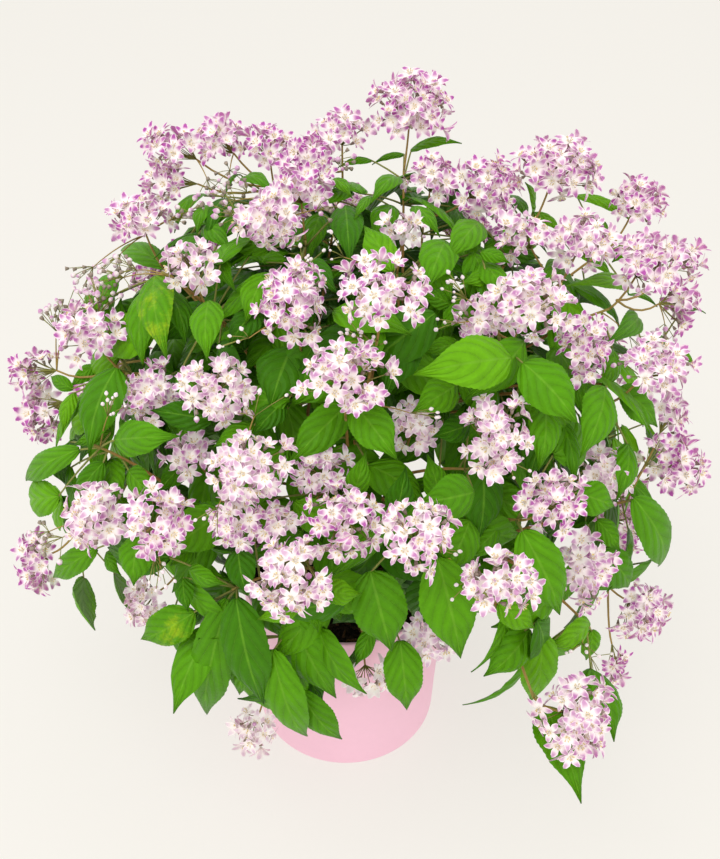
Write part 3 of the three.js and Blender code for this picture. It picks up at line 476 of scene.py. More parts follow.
def seen_head(row):
    """One head of the side that was studied."""
    column, line, width, height, behind = row
    half = np.array((width, height, HEAD_DEPTH * (width + height))) * HEAD_FILL * MM
    axes = (VIEW_RIGHT, VIEW_UP, -VIEW_FORWARD)
    return head_at(on_dome(column, line, behind * MM + half[2]), axes, half, SEEN_LEAN)


def hidden_head_groups(seen):
    """Pairs of heads by the golden angle where the dome turns away from the viewpoint."""
    groups = []
    step = -1
    while len(groups) < HIDDEN_HEADS:
        step += 1
        centre = inside_dome(golden_way(step, HIDDEN_TOP - HIDDEN_STEP_DOWN * step), HIDDEN_DEPTH)
        near = [np.linalg.norm(head.centre - centre) < HIDDEN_SPACING for group in groups for head in group]
        near += [np.linalg.norm(head.centre - centre) < SEEN_SPACING for head in seen]
        if turned_to_view(centre) > HIDDEN_FACING_LIMIT or any(near):
            continue
        normal = out_of_dome(centre)
        level, rise = across(normal)
        side = centre + level * COMPANION_REACH * (1 if step % 2 else -1) - normal * COMPANION_SINK
        groups.append([
            head_at(place, (level, rise, normal), HIDDEN_HALF * size, HIDDEN_LEAN)
            for place, size in ((centre, 1.0), (side, COMPANION_SIZE))
        ])
    return groups


@lru_cache(maxsize=1)
def head_groups():
    """Every group of heads, in the order of their nodes."""
    seen = [[seen_head(row) for row in rows] for rows in SEEN_HEADS]
    return [branched(group) for group in seen + hidden_head_groups(sum(seen, []))]


def clear_of_heads(points):
    """How far each point is from the nearest head, with petals counted in."""
    gaps = [
        (np.linalg.norm(head.local(points), axis=-1) - HEAD_CLEARANCE) * head.half.min()
        for group in head_groups() for head in group
    ]
    return np.min(gaps, axis=0)


@lru_cache(maxsize=1)
def seen_ellipses():
    """Each seen head from the viewpoint: how far right, up and off it is, and its half width and height."""
    heads = [head for group in head_groups()[:len(SEEN_HEADS)] for head in group]
    right, up, away = in_view(np.array([head.centre for head in heads]))
    half = np.array([head.half for head in heads])
    return right, up, away, half[:, 0] / away, half[:, 1] / away


def in_view(points):
    """How far right and up of the middle of the view points are, per unit of distance, and how far off."""
    away = (points - VIEW_EYE) @ VIEW_FORWARD
    return (points - VIEW_EYE) @ VIEW_RIGHT / away, (points - VIEW_EYE) @ VIEW_UP / away, away


def hides_head(points):
    """Whether any of the points stands between the viewpoint and a seen head."""
    right, up, away = (values[:, None] for values in in_view(points))
    head_right, head_up, head_away, half_width, half_height = seen_ellipses()
    over = np.hypot((right - head_right) / half_width, (up - head_up) / half_height) < 1
    return bool((over & (away < head_away)).any())


def clear_bend(start, middle, end, others):
    """The bend whose middle is moved aside or up until it passes clear of the heads and the other stems."""
    level, rise = across(unit(end - start))
    best = None
    for aside, up in BEND_TRIALS:
        line = (start, middle + level * aside * MM + rise * up * MM, end)
        points = bend(line, BEND_SHARES)
        spare = (clear_of_heads(points) - SHOOT_RADIUS).min()
        if len(others):
            gaps = np.linalg.norm(points[:, None] - others[None], axis=-1)
            spare = min(spare, gaps.min() - 2 * CANE_RADIUS)
        outside = np.hypot(points[:, 0], points[:, 1]) > SOIL_REACH
        if outside.any():
            spare = min(spare, (points[outside, 2] - POT_HEIGHT - RIM_CLEARANCE).min())
        if best is None or spare > best[0]:
            best = (spare, line)
        if best[0] > 0:
            break
    return best[1]


@dataclass
class Cane:
    """A cane: its aim, its foot in the soil, the ends and groups that it serves, its bend and its shoots."""

    aim: np.ndarray
    foot: np.ndarray
    ends: list
    groups: list
    line: tuple = None
    shoots: list = None


@lru_cache(maxsize=1)
def canes():
    """Each cane rises from the soil, leans out and bears the shoots that end nearest its own way."""
    grown = []
    for angles in CANES:
        aim = direction(*angles)
        foot = np.array((aim[0] * CANE_BASE_SPREAD, aim[1] * CANE_BASE_SPREAD, SOIL_TOP - CANE_DEPTH_IN_SOIL))
        grown.append(Cane(aim, foot, [], []))
    ends = []
    for index, group in enumerate(head_groups()):
        first = group[0]
        face = unit(((first.centre - first.joint) @ first.axes.T / first.half**2) @ first.axes)
        ends.append((first.joint, first.joint - face * FIT_GAP, index))
    bare = [on_dome(column, row, behind * MM) for column, row, behind in LEAFY_SHOOTS]
    bare += [inside_dome(direction(*angles), BACK_SHOOT_REACH) for angles in BACK_SHOOTS]
    ends += [(joint, joint, None) for joint in bare]
    aims = np.array([cane.aim for cane in grown])
    for joint, stop, index in ends:
        cane = grown[int(np.argmax(aims @ unit(joint - HEART)))]
        cane.ends.append((joint, stop))
        if index is not None:
            cane.groups.append(index)
    for cane in grown:
        fork = mix(cane.foot, np.mean([joint for joint, _ in cane.ends], axis=0), CANE_REACH)
        fork[2] += CANE_RISE
        middle = cane.foot + cane.aim * CANE_LEAN
        middle[2] = cane.foot[2] + CANE_UPRIGHT
        cane.line = clear_bend(cane.foot, middle, fork, [])
    for cane in grown:
        others = np.concatenate([
            bend(line, STEM_SHARES)
            for other in grown if other is not cane
            for line in [*(other.shoots or []), other.line]
        ])
        shoots = []
        for i, (joint, stop) in enumerate(cane.ends):
            share = FIRST_SHOOT + (LAST_SHOOT - FIRST_SHOOT) * (i + 1) / len(cane.ends)
            start = along_stem(cane.line, CANE_STEPS, share)
            middle = mix(start, joint, 0.5) + np.array((0, 0, np.linalg.norm(start - joint) * SHOOT_SAG))
            shoots.append(clear_bend(start, middle, stop, others))
        cane.shoots = shoots
    return grown


@lru_cache(maxsize=1)
def bearers():
    """Points along every stem that can bear a leaf, and the cane that each belongs to."""
    points, owners = [], []
    for index, cane in enumerate(canes()):
        for line, steps in [(cane.line, CANE_STEPS), *((shoot, SHOOT_STEPS) for shoot in cane.shoots)]:
            points.append(along_stem(line, steps, BEARING_SHARES))
            owners.append(np.full(len(BEARING_SHARES), index))
    return np.concatenate(points), np.concatenate(owners)


@lru_cache(maxsize=1)
def stalk_points():
    """Points along the stalks of the heads."""
    heads = sum(head_groups(), [])
    return np.concatenate([mix(head.joint, head.centre, STALK_SHARES[:, None]) for head in heads])


@lru_cache(maxsize=1)
def spray_roots():
    """Where a spray can spring from, on the stems and in the heads, and the cane of each point."""
    points, owners = bearers()
    bearing = {group: index for index, cane in enumerate(canes()) for group in cane.groups}
    heads = [(hub_of(head), bearing[index]) for index, group in enumerate(head_groups()) for head in group]
    hubs, canes_of_hubs = zip(*heads)
    return np.concatenate([points, hubs]), np.concatenate([owners, canes_of_hubs])


def hub_of(head):
    """Where the flowers' own stalks part inside a head."""
    return mix(head.joint, head.centre, HUB_SHARE)


def leaf_outline(share):
    """Half the width of a leaf, as a share of its greatest: egg-shaped with a drawn-out tip."""
    return np.sin(np.pi * np.clip(share, 0, 1) ** 0.72) ** 0.85


@dataclass
class Blade:
    """A leaf: where its petiole springs, its foot and tip, its greatest width and its own directions."""

    root: np.ndarray
    cane: int
    foot: np.ndarray
    tip: np.ndarray
    width: float
    normal: np.ndarray
    side: np.ndarray
    samples: np.ndarray = None
    yellowing: float = 0.0
    tint: float = None

    def at(self, share, reach):
        """Points of the blade: share runs from foot to tip, reach from -1 at one edge to 1 at the other."""
        half = self.width / 2 * leaf_outline(share)
        length = np.linalg.norm(self.tip - self.foot)
        lift = LEAF_ARCH * length * 4 * share * (1 - share) - (LEAF_DROP + LEAF_FOLD * half) * np.abs(reach)
        return mix(self.foot, self.tip, share[..., None]) + self.normal * lift[..., None] \
            + self.side * (half * reach)[..., None]


def blade_at(foot, tip, width, facing):
    """A leaf that springs from the nearest stem."""
    line = unit(tip - foot)
    normal = unit(facing - line * (facing @ line))
    points, owners = bearers()
    nearest = int(np.argmin(np.linalg.norm(points - foot, axis=-1)))
    blade = Blade(points[nearest], int(owners[nearest]), foot, tip, width, normal, np.cross(line, normal))
    rows = math.ceil(np.linalg.norm(tip - foot) / SAMPLE_STEP)
    share, reach = np.meshgrid(np.arange(1, rows) / rows, (-1, -0.5, 0, 0.5, 1), indexing="ij")
    petiole = mix(blade.root, foot, STEM_SHARES[:, None])
    blade.samples = np.concatenate([petiole, blade.at(share, reach).reshape(-1, 3), [tip]])
    return blade


def sunk_blade(row, step):
    """The leaf of a row of the tables, so many steps along its sight line behind the row's own depth."""
    foot_column, foot_row, tip_column, tip_row, width, behind = row
    depth = behind * MM + step * PUSH_STEP
    foot = on_dome(foot_column, foot_row, depth + LEAF_FOOT_SINK)
    tip = on_dome(tip_column, tip_row, depth)
    return blade_at(foot, tip, width * MM, out_of_dome(foot) + unit(VIEW_EYE - tip) * LEAF_TO_VIEW)


def room(blade, placed, owners):
    """How much room a leaf has to spare from heads, other canes' stems and the leaves already placed."""
    samples = blade.samples
    points, canes_of_points = bearers()
    others = np.concatenate([points[canes_of_points != blade.cane], stalk_points()])
    spare = min(
        clear_of_heads(samples).min(),
        np.linalg.norm(samples[:, None] - others[None], axis=-1).min() - STEM_CLEARANCE,
        samples[:, 2].min() - FLOOR_CLEARANCE,
    )
    low = samples[samples[:, 2] < POT_HEIGHT + RIM_CLEARANCE]
    if len(low):
        rim = settings().pot.rim_radius + RIM_CLEARANCE
        spare = min(spare, np.hypot(low[:, 0], low[:, 1]).min() - rim)
    if len(placed):
        gaps = np.linalg.norm(samples[1:, None] - placed[None], axis=-1).min(axis=0)
        clearance = np.where(owners == blade.cane, SAME_CANE_CLEARANCE, LEAF_CLEARANCE)
        spare = min(spare, (gaps - clearance).min())
    return spare


@lru_cache(maxsize=1)
def leaves():
    """Every leaf of the solids. A seen leaf sinks along its sight line in small steps until it is clear."""
    blades, placed, owners = [], np.zeros((0, 3)), np.zeros(0, int)

    def keep(blade):
        nonlocal placed, owners
        blades.append(blade)
        placed = np.concatenate([placed, blade.samples[1:]])
        owners = np.concatenate([owners, np.full(len(blade.samples) - 1, blade.cane)])

    for index, row in enumerate(SEEN_LEAVES):
        best = None
        for step in range(PUSH_STEPS):
            blade = sunk_blade(row, step)
            spare = room(blade, placed, owners)
            if best is None or spare > best[0]:
                best = (spare, blade)
            if best[0] >= 0:
                break
        best[1].yellowing = YELLOWING_LEAVES.get(index, 0.0)
        best[1].tint = LEAF_TINTS.get(index)
        keep(best[1])
    draw = draws(7)
    least = 1 - FILL_SPREAD / 2
    for index in range(FILL_LEAVES):
        outward = golden_way(index, FILL_TOP - FILL_SPAN * (index + 0.5) / FILL_LEAVES)
        turn = (next(draw) - 0.5) * FILL_TURN
        length = FILL_LENGTH * (least + FILL_SPREAD * next(draw))
        width = FILL_WIDTH * (least + FILL_SPREAD * next(draw))
        for depth in FILL_DEPTHS:
            middle = inside_dome(outward, depth)
            if turned_to_view(middle) > FILL_FACING_LIMIT:
                break
            normal = out_of_dome(middle)
            half_line = turned_across(normal, turn) * length / 2
            blade = blade_at(middle - half_line - normal * FILL_FOOT_SINK, middle + half_line, width, normal)
            if hides_head(blade.samples[len(STEM_SHARES):]):
                continue
            petiole = np.linalg.norm(blade.root - blade.foot)
            if room(blade, placed, owners) >= 0 and petiole < LONGEST_PETIOLE:
                keep(blade)
                break
    return blades


@lru_cache(maxsize=1)
def inner_leaves():
    """More leaves in the shade of those on the dome's surface, each on its nearest stem."""
    random = np.random.default_rng(11)
    points, owners = bearers()
    blades = []
    for row in SHADED_LEAVES:
        for step in range(PUSH_STEPS):
            blade = sunk_blade(row, step)
            spots = blade.samples[len(STEM_SHARES):]
            if clear_of_heads(spots).min() > 0 and not hides_head(spots):
                break
        blades.append(blade)
    count = settings().foliage.inner_leaves
    for index in range(count):
        height = INNER_TOP - INNER_SPAN * ((index + 0.5) / count) ** INNER_CROWDING
        middle = inside_dome(golden_way(index, height), random.uniform(*INNER_DEPTHS))
        normal = unit(out_of_dome(middle) + random.normal(0, INNER_TILT, 3))
        line = turned_across(normal, random.uniform(-INNER_TURN, INNER_TURN))
        length, width = random.uniform(*INNER_LENGTHS), random.uniform(*INNER_WIDTHS)
        foot, tip = middle - line * length / 2, middle + line * length / 2
        side = np.cross(line, normal)
        low = min(foot[2], tip[2]) < POT_HEIGHT + INNER_OVER_RIM
        if low and math.hypot(middle[0], middle[1]) < settings().pot.rim_radius + INNER_FROM_RIM:
            continue
        spots = np.stack([foot, middle, tip, middle + side * width / 2, middle - side * width / 2])
        in_front = foot[1] < DOME_CENTRE[1] and tip[2] < LOW_INNER_LEAF
        if clear_of_heads(spots).min() < 0 or hides_head(spots) or in_front:
            continue
        nearest = int(np.argmin(np.linalg.norm(points - foot, axis=-1)))
        if np.linalg.norm(points[nearest] - foot) < LONGEST_PETIOLE:
            blades.append(Blade(points[nearest], int(owners[nearest]), foot, tip, width, normal, side))
    return blades


@dataclass
class Shape:
    """Part of a piece's surface: points, faces as arrays with one row per face, a UV per point, further
    values per point, and which points lie on a sharp rim."""

    points: np.ndarray
    faces: list
    uv: np.ndarray
    values: dict
    rim: np.ndarray = None


def grid_faces(rows, columns, wrap):
    """Quads between neighbours of a grid of points; wrap joins the last column to the first."""
    row, column = np.meshgrid(np.arange(rows - 1), np.arange(columns - (0 if wrap else 1)), indexing="ij")
    beside = (column + 1) % columns
    quads = np.stack([
        row * columns + column,
        row * columns + beside,
        (row + 1) * columns + beside,
        (row + 1) * columns + column,
    ], axis=-1)
    return quads.reshape(-1, 4)


def repeated(faces, copies, size):
    """The same faces for each of many copies whose points follow one another."""
    return (faces[None] + (np.arange(copies) * size)[:, None, None]).reshape(-1, faces.shape[1])


def closed_rings(rings, sides, copies=1):
    """Faces of closed bodies, each a grid of rings followed by the middle points of its two ends."""
    size, last = rings * sides + 2, (rings - 1) * sides
    here = np.arange(sides)
    beside = (here + 1) % sides
    caps = np.concatenate([
        np.stack([np.full(sides, size - 2), beside, here], axis=-1),
        np.stack([np.full(sides, size - 1), last + here, last + beside], axis=-1),
    ])
    return [repeated(grid_faces(rings, sides, True), copies, size), repeated(caps, copies, size)]


def tubes(lines, radii, sides, steps, values):
    """Closed tubes along quadratic bends. A ring lies square to the bend at each step: its points are the
    centre plus radius times the cosine along the bend's binormal and the sine across it. Each end closes on a
    middle point. lines is (tubes, 3, 3), radii (tubes, 2), and each value has one number per tube."""
    lines = np.asarray(lines, float)
    count = len(lines)
    start, middle, end = lines[:, None, 0], lines[:, None, 1], lines[:, None, 2]
    share = np.linspace(0, 1, steps + 1)[None, :, None]
    centres = mix(mix(start, middle, share), mix(middle, end, share), share)
    tangents = unit(mix(middle - start, end - middle, share) + 1e-9)
    level = np.cross(middle - start, end - middle)
    chord = unit(end - start)
    upright = np.where(np.abs(chord[..., 2:]) > 0.95, (0.0, 1.0, 0.0), (0.0, 0.0, 1.0))
    straight = np.linalg.norm(level, axis=-1, keepdims=True) < 1e-7
    level = np.where(straight, np.cross(upright, chord), level)
    beside = unit(level - tangents * (level * tangents).sum(-1, keepdims=True))
    over = np.cross(tangents, beside)
    radius = mix(np.asarray(radii)[:, None, :1], np.asarray(radii)[:, None, 1:], share)[..., None]
    angle = np.arange(sides) * 2 * np.pi / sides
    rings = centres[:, :, None] + radius * turned(beside[:, :, None], over[:, :, None], angle)
    points = np.concatenate([rings.reshape(count, -1, 3), centres[:, :1], centres[:, -1:]], axis=1)
    along = np.concatenate([np.repeat(share.ravel(), sides), (0, 1)])
    about = np.concatenate([np.tile(np.arange(sides) / sides, steps + 1), (0.5, 0.5)])
    return Shape(
        points.reshape(-1, 3),
        closed_rings(steps + 1, sides, count),
        np.tile(np.stack([about, along], axis=-1), (count, 1)),
        {name: np.repeat(value, points.shape[1]) for name, value in values.items()},
    )


def stems(lines, radii, sides, steps, age):
    """Tubes that share the radii of their ends and the age of their bark."""
    count = len(lines)
    return tubes(lines, np.tile(radii, (count, 1)), sides, steps, {"age": np.full(count, age)})


def combined(shapes):
    """Several shapes as one."""
    starts = np.cumsum([0] + [len(shape.points) for shape in shapes[:-1]])
    return Shape(
        np.concatenate([shape.points for shape in shapes]),
        [faces + start for shape, start in zip(shapes, starts) for faces in shape.faces],
        np.concatenate([shape.uv for shape in shapes]),
        {
            name: np.concatenate([shape.values.get(name, np.zeros(len(shape.points))) for shape in shapes])
            for name in sorted({name for shape in shapes for name in shape.values})
        },
        np.concatenate([
            np.zeros(len(shape.points), bool) if shape.rim is None else shape.rim for shape in shapes
        ]),
    )


def make_piece(name, shape, finish, nodes):
    """A mesh object from a shape, with its UV map, its values as attributes and sharp edges along its rim. It
    rides on the one body and stands for the nodes."""
    mesh = bpy.data.meshes.new(name)
    corners = np.concatenate([faces.ravel() for faces in shape.faces]).astype(np.int32)
    sizes = np.concatenate([np.full(len(faces), faces.shape[1]) for faces in shape.faces])
    mesh.vertices.add(len(shape.points))
    mesh.vertices.foreach_set("co", shape.points.astype(np.float32).ravel())
    mesh.loops.add(len(corners))
    mesh.loops.foreach_set("vertex_index", corners)
    mesh.polygons.add(len(sizes))
    mesh.polygons.foreach_set("loop_start", np.concatenate([[0], np.cumsum(sizes)[:-1]]).astype(np.int32))
    mesh.update(calc_edges=True)
    mesh.uv_layers.new(name="shape").data.foreach_set("uv", shape.uv[corners].astype(np.float32).ravel())
    for title, values in shape.values.items():
        mesh.attributes.new(title, "FLOAT", "POINT").data.foreach_set("value", values.astype(np.float32))
    mesh.polygons.foreach_set("use_smooth", np.full(len(sizes), True))
    if shape.rim is not None and shape.rim.any():
        ends = np.zeros(len(mesh.edges) * 2, np.int32)
        mesh.edges.foreach_get("vertices", ends)
        sharp = shape.rim[ends.reshape(-1, 2)].all(axis=1)
        mesh.attributes.new("sharp_edge", "BOOLEAN", "EDGE").data.foreach_set("value", sharp)
    if mesh.validate():
        raise RuntimeError(f"{name} has broken faces")
    mesh.materials.append(finish)
    piece = bpy.data.objects.new(name, mesh)
    bpy.context.scene.collection.objects.link(piece)
    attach(piece, "root")
    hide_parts(*nodes)


def lathe(profile, sides):
    """A profile of radius and height turned about the axis and closed at both ends on it."""
    body = profile[1:-1]
    points = np.concatenate([
        np.repeat(body[:, :1], sides, axis=0) * np.tile(unit_ring(sides), (len(body), 1)),
        np.repeat(body[:, 1:], sides, axis=0),
    ], axis=1)
    points = np.concatenate([points, [(0, 0, profile[0, 1]), (0, 0, profile[-1, 1])]])
    uv = np.stack([np.arctan2(points[:, 1], points[:, 0]) / (2 * np.pi) + 0.5, points[:, 2]], axis=-1)
    return Shape(points, closed_rings(len(body), sides), uv, {})


def arc(centre, radius, first, last, steps):
    """Points of an arc of a profile, angles in degrees."""
    angles = np.radians(np.linspace(first, last, steps))
    return np.asarray(centre) + radius * np.stack([np.cos(angles), np.sin(angles)], axis=-1)


def drawn_out(share):
    """The leaf outline with its tip drawn out further, as the solids' coarser blades can't show it."""
    late = np.clip((share - 0.6) / 0.36, 0, 1)
    return leaf_outline(share) * (1 - 0.5 * late**2 * (3 - 2 * late) + 0.12 * late**4)


def leaf_blades(blades, seed, thickness, rows, columns, teeth):
    """Leaf blades as closed thin bodies. The upper face is a grid of share along and reach across: the
    midline arches, the halves bulge up either side of a sunk midrib and drop at the edge, and between side
    veins the blade swells by |sin(pi * (pairs * share - slant * |reach|^1.25))|. Every other row is a tooth
    narrower. The lower face has one line under the midrib and shares the edges of the upper."""
    random = np.random.default_rng(seed)
    count = len(blades)
    share = (np.linspace(0.01, 1, rows) ** 0.95)[None, :, None]
    reach = np.linspace(-1, 1, columns)[None, None, :]
    foot = np.array([blade.foot for blade in blades])[:, None, None]
    tip = np.array([blade.tip for blade in blades])[:, None, None]
    normal = np.array([blade.normal for blade in blades])[:, None, None]
    side = np.array([blade.side for blade in blades])[:, None, None]
    width = np.array([blade.width for blade in blades])[:, None, None]
    length = np.linalg.norm(tip - foot, axis=-1)
    waves, start = random.uniform(12, 20, (count, 1, 1)), random.uniform(0, 6, (count, 1, 1))
    uneven = 1 + 0.03 * np.sin(share * waves + start)
    uneven = uneven - teeth * (np.arange(rows) % 2)[None, :, None]
    half = np.maximum(width / 2 * drawn_out(share) * uneven, 0.0004)
    # Painted light: leaves more than 0.1 m out to either side get up to 0.3 more tint, lighter as if lit from
    # the sides; the rest of the tint is drawn at random.
    drawn = random.uniform(0, 0.8, count) + 0.3 * np.clip(np.abs(foot[:, 0, 0, 0]) / 0.1 - 1, 0, 1)
    tints_and_side_light = [tint if blade.tint is None else blade.tint for blade, tint in zip(blades, drawn)]
    curl = random.uniform(-0.02, 0.07, (count, 1, 1))
    veins = np.pi * (share * VEIN_PAIRS - VEIN_SLANT * np.abs(reach) ** VEIN_CURVE)
    arch = LEAF_ARCH * length * 4 * share * (1 - share) - curl * length * share**3
    bulge = 0.14 * half * (1 - (2 * np.abs(reach) - 1) ** 2)
    drop = (LEAF_DROP + LEAF_FOLD * half) * np.abs(reach) ** 1.6
    swell = 0.0009 * np.abs(np.sin(veins)) * np.sqrt(np.abs(reach)) * (half / half.max())
    wave = 0.035 * half * reach * random.uniform(-1, 1, (count, 1, 1)) * np.sin(share * 7)
    height = arch + bulge - drop + swell + wave
    upper = foot + (tip - foot) * share[..., None] + normal * height[..., None]
    upper = upper + side * (half * reach)[..., None]
    lower = upper[:, :, columns // 2] - normal[:, :, 0] * thickness
    points = np.concatenate([upper.reshape(count, -1, 3), lower], axis=1)
    block = rows * columns
    row = np.arange(rows - 1)
    under = block + row
    lower_faces = np.concatenate([
        np.stack([row * columns, row * columns + columns, under + 1, under], axis=-1),
        np.stack([under, under + 1, row * columns + 2 * columns - 1, row * columns + columns - 1], axis=-1),
    ])
    last = block - columns
    first_row, last_row = np.arange(columns), last + np.arange(columns)
    ends = np.stack([np.append(first_row[::-1], block), np.append(last_row, block + rows - 1)])
    size = block + rows
    flags = np.zeros(size, bool)
    flags[0:block:columns] = flags[columns - 1:block:columns] = True
    uv = np.stack(np.broadcast_arrays((reach[0] + 1) / 2, share[0]), axis=-1).reshape(-1, 2)
    middle = np.stack([np.full(rows, 0.5), share.ravel()], axis=-1)
    below = np.concatenate([np.zeros(block), np.ones(rows)])
    return Shape(
        points.reshape(-1, 3),
        [
            repeated(grid_faces(rows, columns, False), count, size),
            repeated(lower_faces, count, size),
            repeated(ends, count, size),
        ],
        np.tile(np.concatenate([uv, middle]), (count, 1)),
        {
            "under": np.tile(below, count),
            "tint": np.repeat(tints_and_side_light, size),
            "yellowing": np.repeat([blade.yellowing for blade in blades], size),
        },
        np.tile(flags, count),
    )


def petioles(blades):
    """Thin stalks from the stems to the leaf feet, bowed up a little on the way."""
    root = np.array([blade.root for blade in blades])
    foot = np.array([mix(blade.foot, blade.tip, 0.03) for blade in blades])
    middle = mix(root, foot, 0.5)
    middle[:, 2] += np.linalg.norm(foot - root, axis=-1) * 0.06
    return stems(np.stack([root, middle, foot], axis=1), (0.0009, 0.0007), 5, 4, 0.75)


def flower_places(head, facing_out_to, random, shell, cover, area_each):
    """Where the flowers of a head stand and face. They spread over the side that faces out by the golden
    angle: point i stands at height 1 - cover * (i + 1/2) / count on the unit ball, which is scaled to the
    head and shrunk by the shell."""
    count = int(np.clip(round(head.half[0] * head.half[1] / area_each), *FLOWER_COUNTS))
    index = np.arange(count) + 0.5
    height = 1 - cover * index / count
    ring = np.sqrt(1 - height**2)
    angle = index * GOLDEN_ANGLE + random.uniform(0, 6)
    facing = unit(head.local(head.centre + facing_out_to))
    sideways, upward = across(facing)
    outward = unit(
        facing * height[:, None]
        + sideways * (ring * np.cos(angle))[:, None]
        + upward * (ring * np.sin(angle))[:, None]
        + random.normal(0, FLOWER_SCATTER, (count, 3))
    )
    place = head.world(outward * random.uniform(*FLOWER_SHELL, (count, 1)) * shell)
    straight = unit((outward / head.half) @ head.axes)
    tilt = random.normal(0, FLOWER_TILT, (count, 3))
    return place, unit(straight + facing_out_to * FLOWER_OUTWARD + tilt)


def frames_on(normals, random):
    """For each normal two directions across it, turned about it at random."""
    aside = unit(np.cross(normals, random.normal(0, 1, normals.shape)))
    return aside, np.cross(normals, aside)


def petals(place, normal, radius, random, whiteness):
    """Five petals to a flower as closed thin bodies. Along a petal the distance s from the flower's middle
    runs from 0 to 1, the height follows slope * (s - 0.3 s^2) - 0.08 s^3, the half width follows
    sin(pi * s^1.15)^0.85 with a broad root, and each row has an edge, a midline above, an edge and a midline
    below."""
    count = len(place)
    aside, over = frames_on(normal, random)
    share = PETAL_SHARES[None, None]
    slope = random.uniform(*PETAL_SLOPES, (count, 1, 1)) + random.normal(0, 0.16, (count, 5, 1))
    turn = (np.arange(5) * 2 * np.pi / 5)[None, :, None] + random.normal(0, 0.09, (count, 5, 1))
    reach = radius[:, None, None] * random.uniform(0.88, 1.08, (count, 5, 1))
    flat = 1 / np.sqrt(1 + (slope * 0.7) ** 2)
    distance = reach * flat * share
    rise = reach * flat * (slope * (share - 0.3 * share**2) - 0.08 * share**3)
    half = reach * PETAL_HALF * np.sin(np.pi * np.clip(share, 0, 0.999) ** 1.15) ** 0.85
    half = half + 0.0008 * (1 - share) ** 3 + 0.0001
    cup = half * random.uniform(-0.1, 0.45, (count, 5, 1))
    twist = random.normal(0, 0.18, (count, 5, 1)) * half
    outward = turned(aside[:, None, None], over[:, None, None], turn)
    sideways = turned(over[:, None, None], -aside[:, None, None], turn)
    up = normal[:, None, None]
    base = place[:, None, None] + outward * distance[..., None]
    points = np.stack([
        base + sideways * half[..., None] + up * (rise + cup + twist)[..., None],
        base + up * (rise + 0.00012)[..., None],
        base - sideways * half[..., None] + up * (rise + cup - twist)[..., None],
        base + up * (rise - 0.00018)[..., None],
    ], axis=3)
    rows = share.size
    size = rows * 4
    last = size - 4
    ends = np.array(((0, 1, 2, 3), (last + 3, last + 2, last + 1, last)))
    faces = np.concatenate([grid_faces(rows, 4, True)[:, ::-1], ends])
    uv = np.stack([np.tile((0, 0.5, 1, 0.5), rows), np.repeat(share.ravel(), 4)], axis=-1)
    below = np.tile((0.0, 0.0, 0.0, 1.0), rows)
    edges = np.tile((True, False, True, False), rows)
    petal_tint = np.repeat(random.uniform(0, 1, count), 5) * 0.7 + random.uniform(0, 0.3, count * 5)
    return Shape(
        points.reshape(-1, 3),
        [repeated(faces, count * 5, size)],
        np.tile(uv, (count * 5, 1)),
        {
            "tint": np.repeat(petal_tint, size),
            "under": np.tile(below, count * 5),
            "whiteness": np.full(count * 5 * size, whiteness),
        },
        np.tile(edges, count * 5),
    )


def buds(place, normal, radius, random, whiteness):
    """Round pointed buds: rings whose radius follows sin(pi * s)^0.7 along the bud, closed on two poles."""
    count = len(place)
    aside, over = frames_on(normal, random)
    ring = np.sin(np.pi * BUD_SHARES) ** 0.7
    across_bud = turned(aside[:, None], over[:, None], np.arange(BUD_SIDES) * 2 * np.pi / BUD_SIDES)
    points = place[:, None, None] + across_bud[:, None] * (radius[:, None] * ring)[..., None, None] \
        + normal[:, None, None] * (radius[:, None] * 2.5 * BUD_SHARES)[..., None, None]
    poles = np.stack([place, place + normal * (radius * 2.6)[:, None]], axis=1)
    points = np.concatenate([points.reshape(count, -1, 3), poles], axis=1)
    along = np.concatenate([np.repeat(BUD_SHARES, BUD_SIDES), (0, 1)])
    size = len(along)
    return Shape(
        points.reshape(-1, 3),
        closed_rings(len(BUD_SHARES), BUD_SIDES, count),
        np.tile(np.stack([np.full(size, 0.5), along], axis=-1), (count, 1)),
        {
            "tint": np.repeat(random.uniform(0.3, 1, count), size),
            "under": np.full(count * size, 0.35),
            "whiteness": np.full(count * size, whiteness),
        },
    )


def stamens(place, normal, radius, random):
    """Six stamens to a flower. Each is a three-sided spindle from the eye: a thin foot, a swollen ring near
    its end and a point, leaning out from the flower's axis."""
    each = STAMENS
    count = len(place) * each
    aside, over = frames_on(normal, random)
    turn = np.tile(np.arange(each) * 2 * np.pi / each, len(place)) + random.normal(0, 0.2, count)
    up = np.repeat(normal, each, axis=0)
    outward = turned(np.repeat(aside, each, axis=0), np.repeat(over, each, axis=0), turn)
    reach = np.repeat(radius, each) * random.uniform(0.3, 0.42, count)
    way = unit(up + outward * random.uniform(0.3, 0.8, count)[:, None])
    beside = np.cross(way, outward)
    square = np.cross(way, beside)
    root = np.repeat(place, each, axis=0) + outward * 0.0005
    ring = turned(beside[:, None], square[:, None], np.arange(3) * 2 * np.pi / 3)
    points = np.concatenate([
        root[:, None] + ring * 0.00018,
        root[:, None] + way[:, None] * (reach * 0.84)[:, None, None] + ring * 0.0006,
        (root + way * reach[:, None])[:, None],
    ], axis=1)
    quads = np.array(((0, 1, 4, 3), (1, 2, 5, 4), (2, 0, 3, 5)))
    ends = np.array(((2, 1, 0), (3, 4, 6), (4, 5, 6), (5, 3, 6)))
    uv = np.array(((0, 0), (0.3, 0), (0.6, 0), (0, 0.84), (0.3, 0.84), (0.6, 0.84), (0.5, 1)))
    return Shape(
        points.reshape(-1, 3),
        [repeated(quads, count, 7), repeated(ends, count, 7)],
        np.tile(uv, (count, 1)),
        {"tint": np.repeat(random.uniform(0, 1, count), 7)},
    )


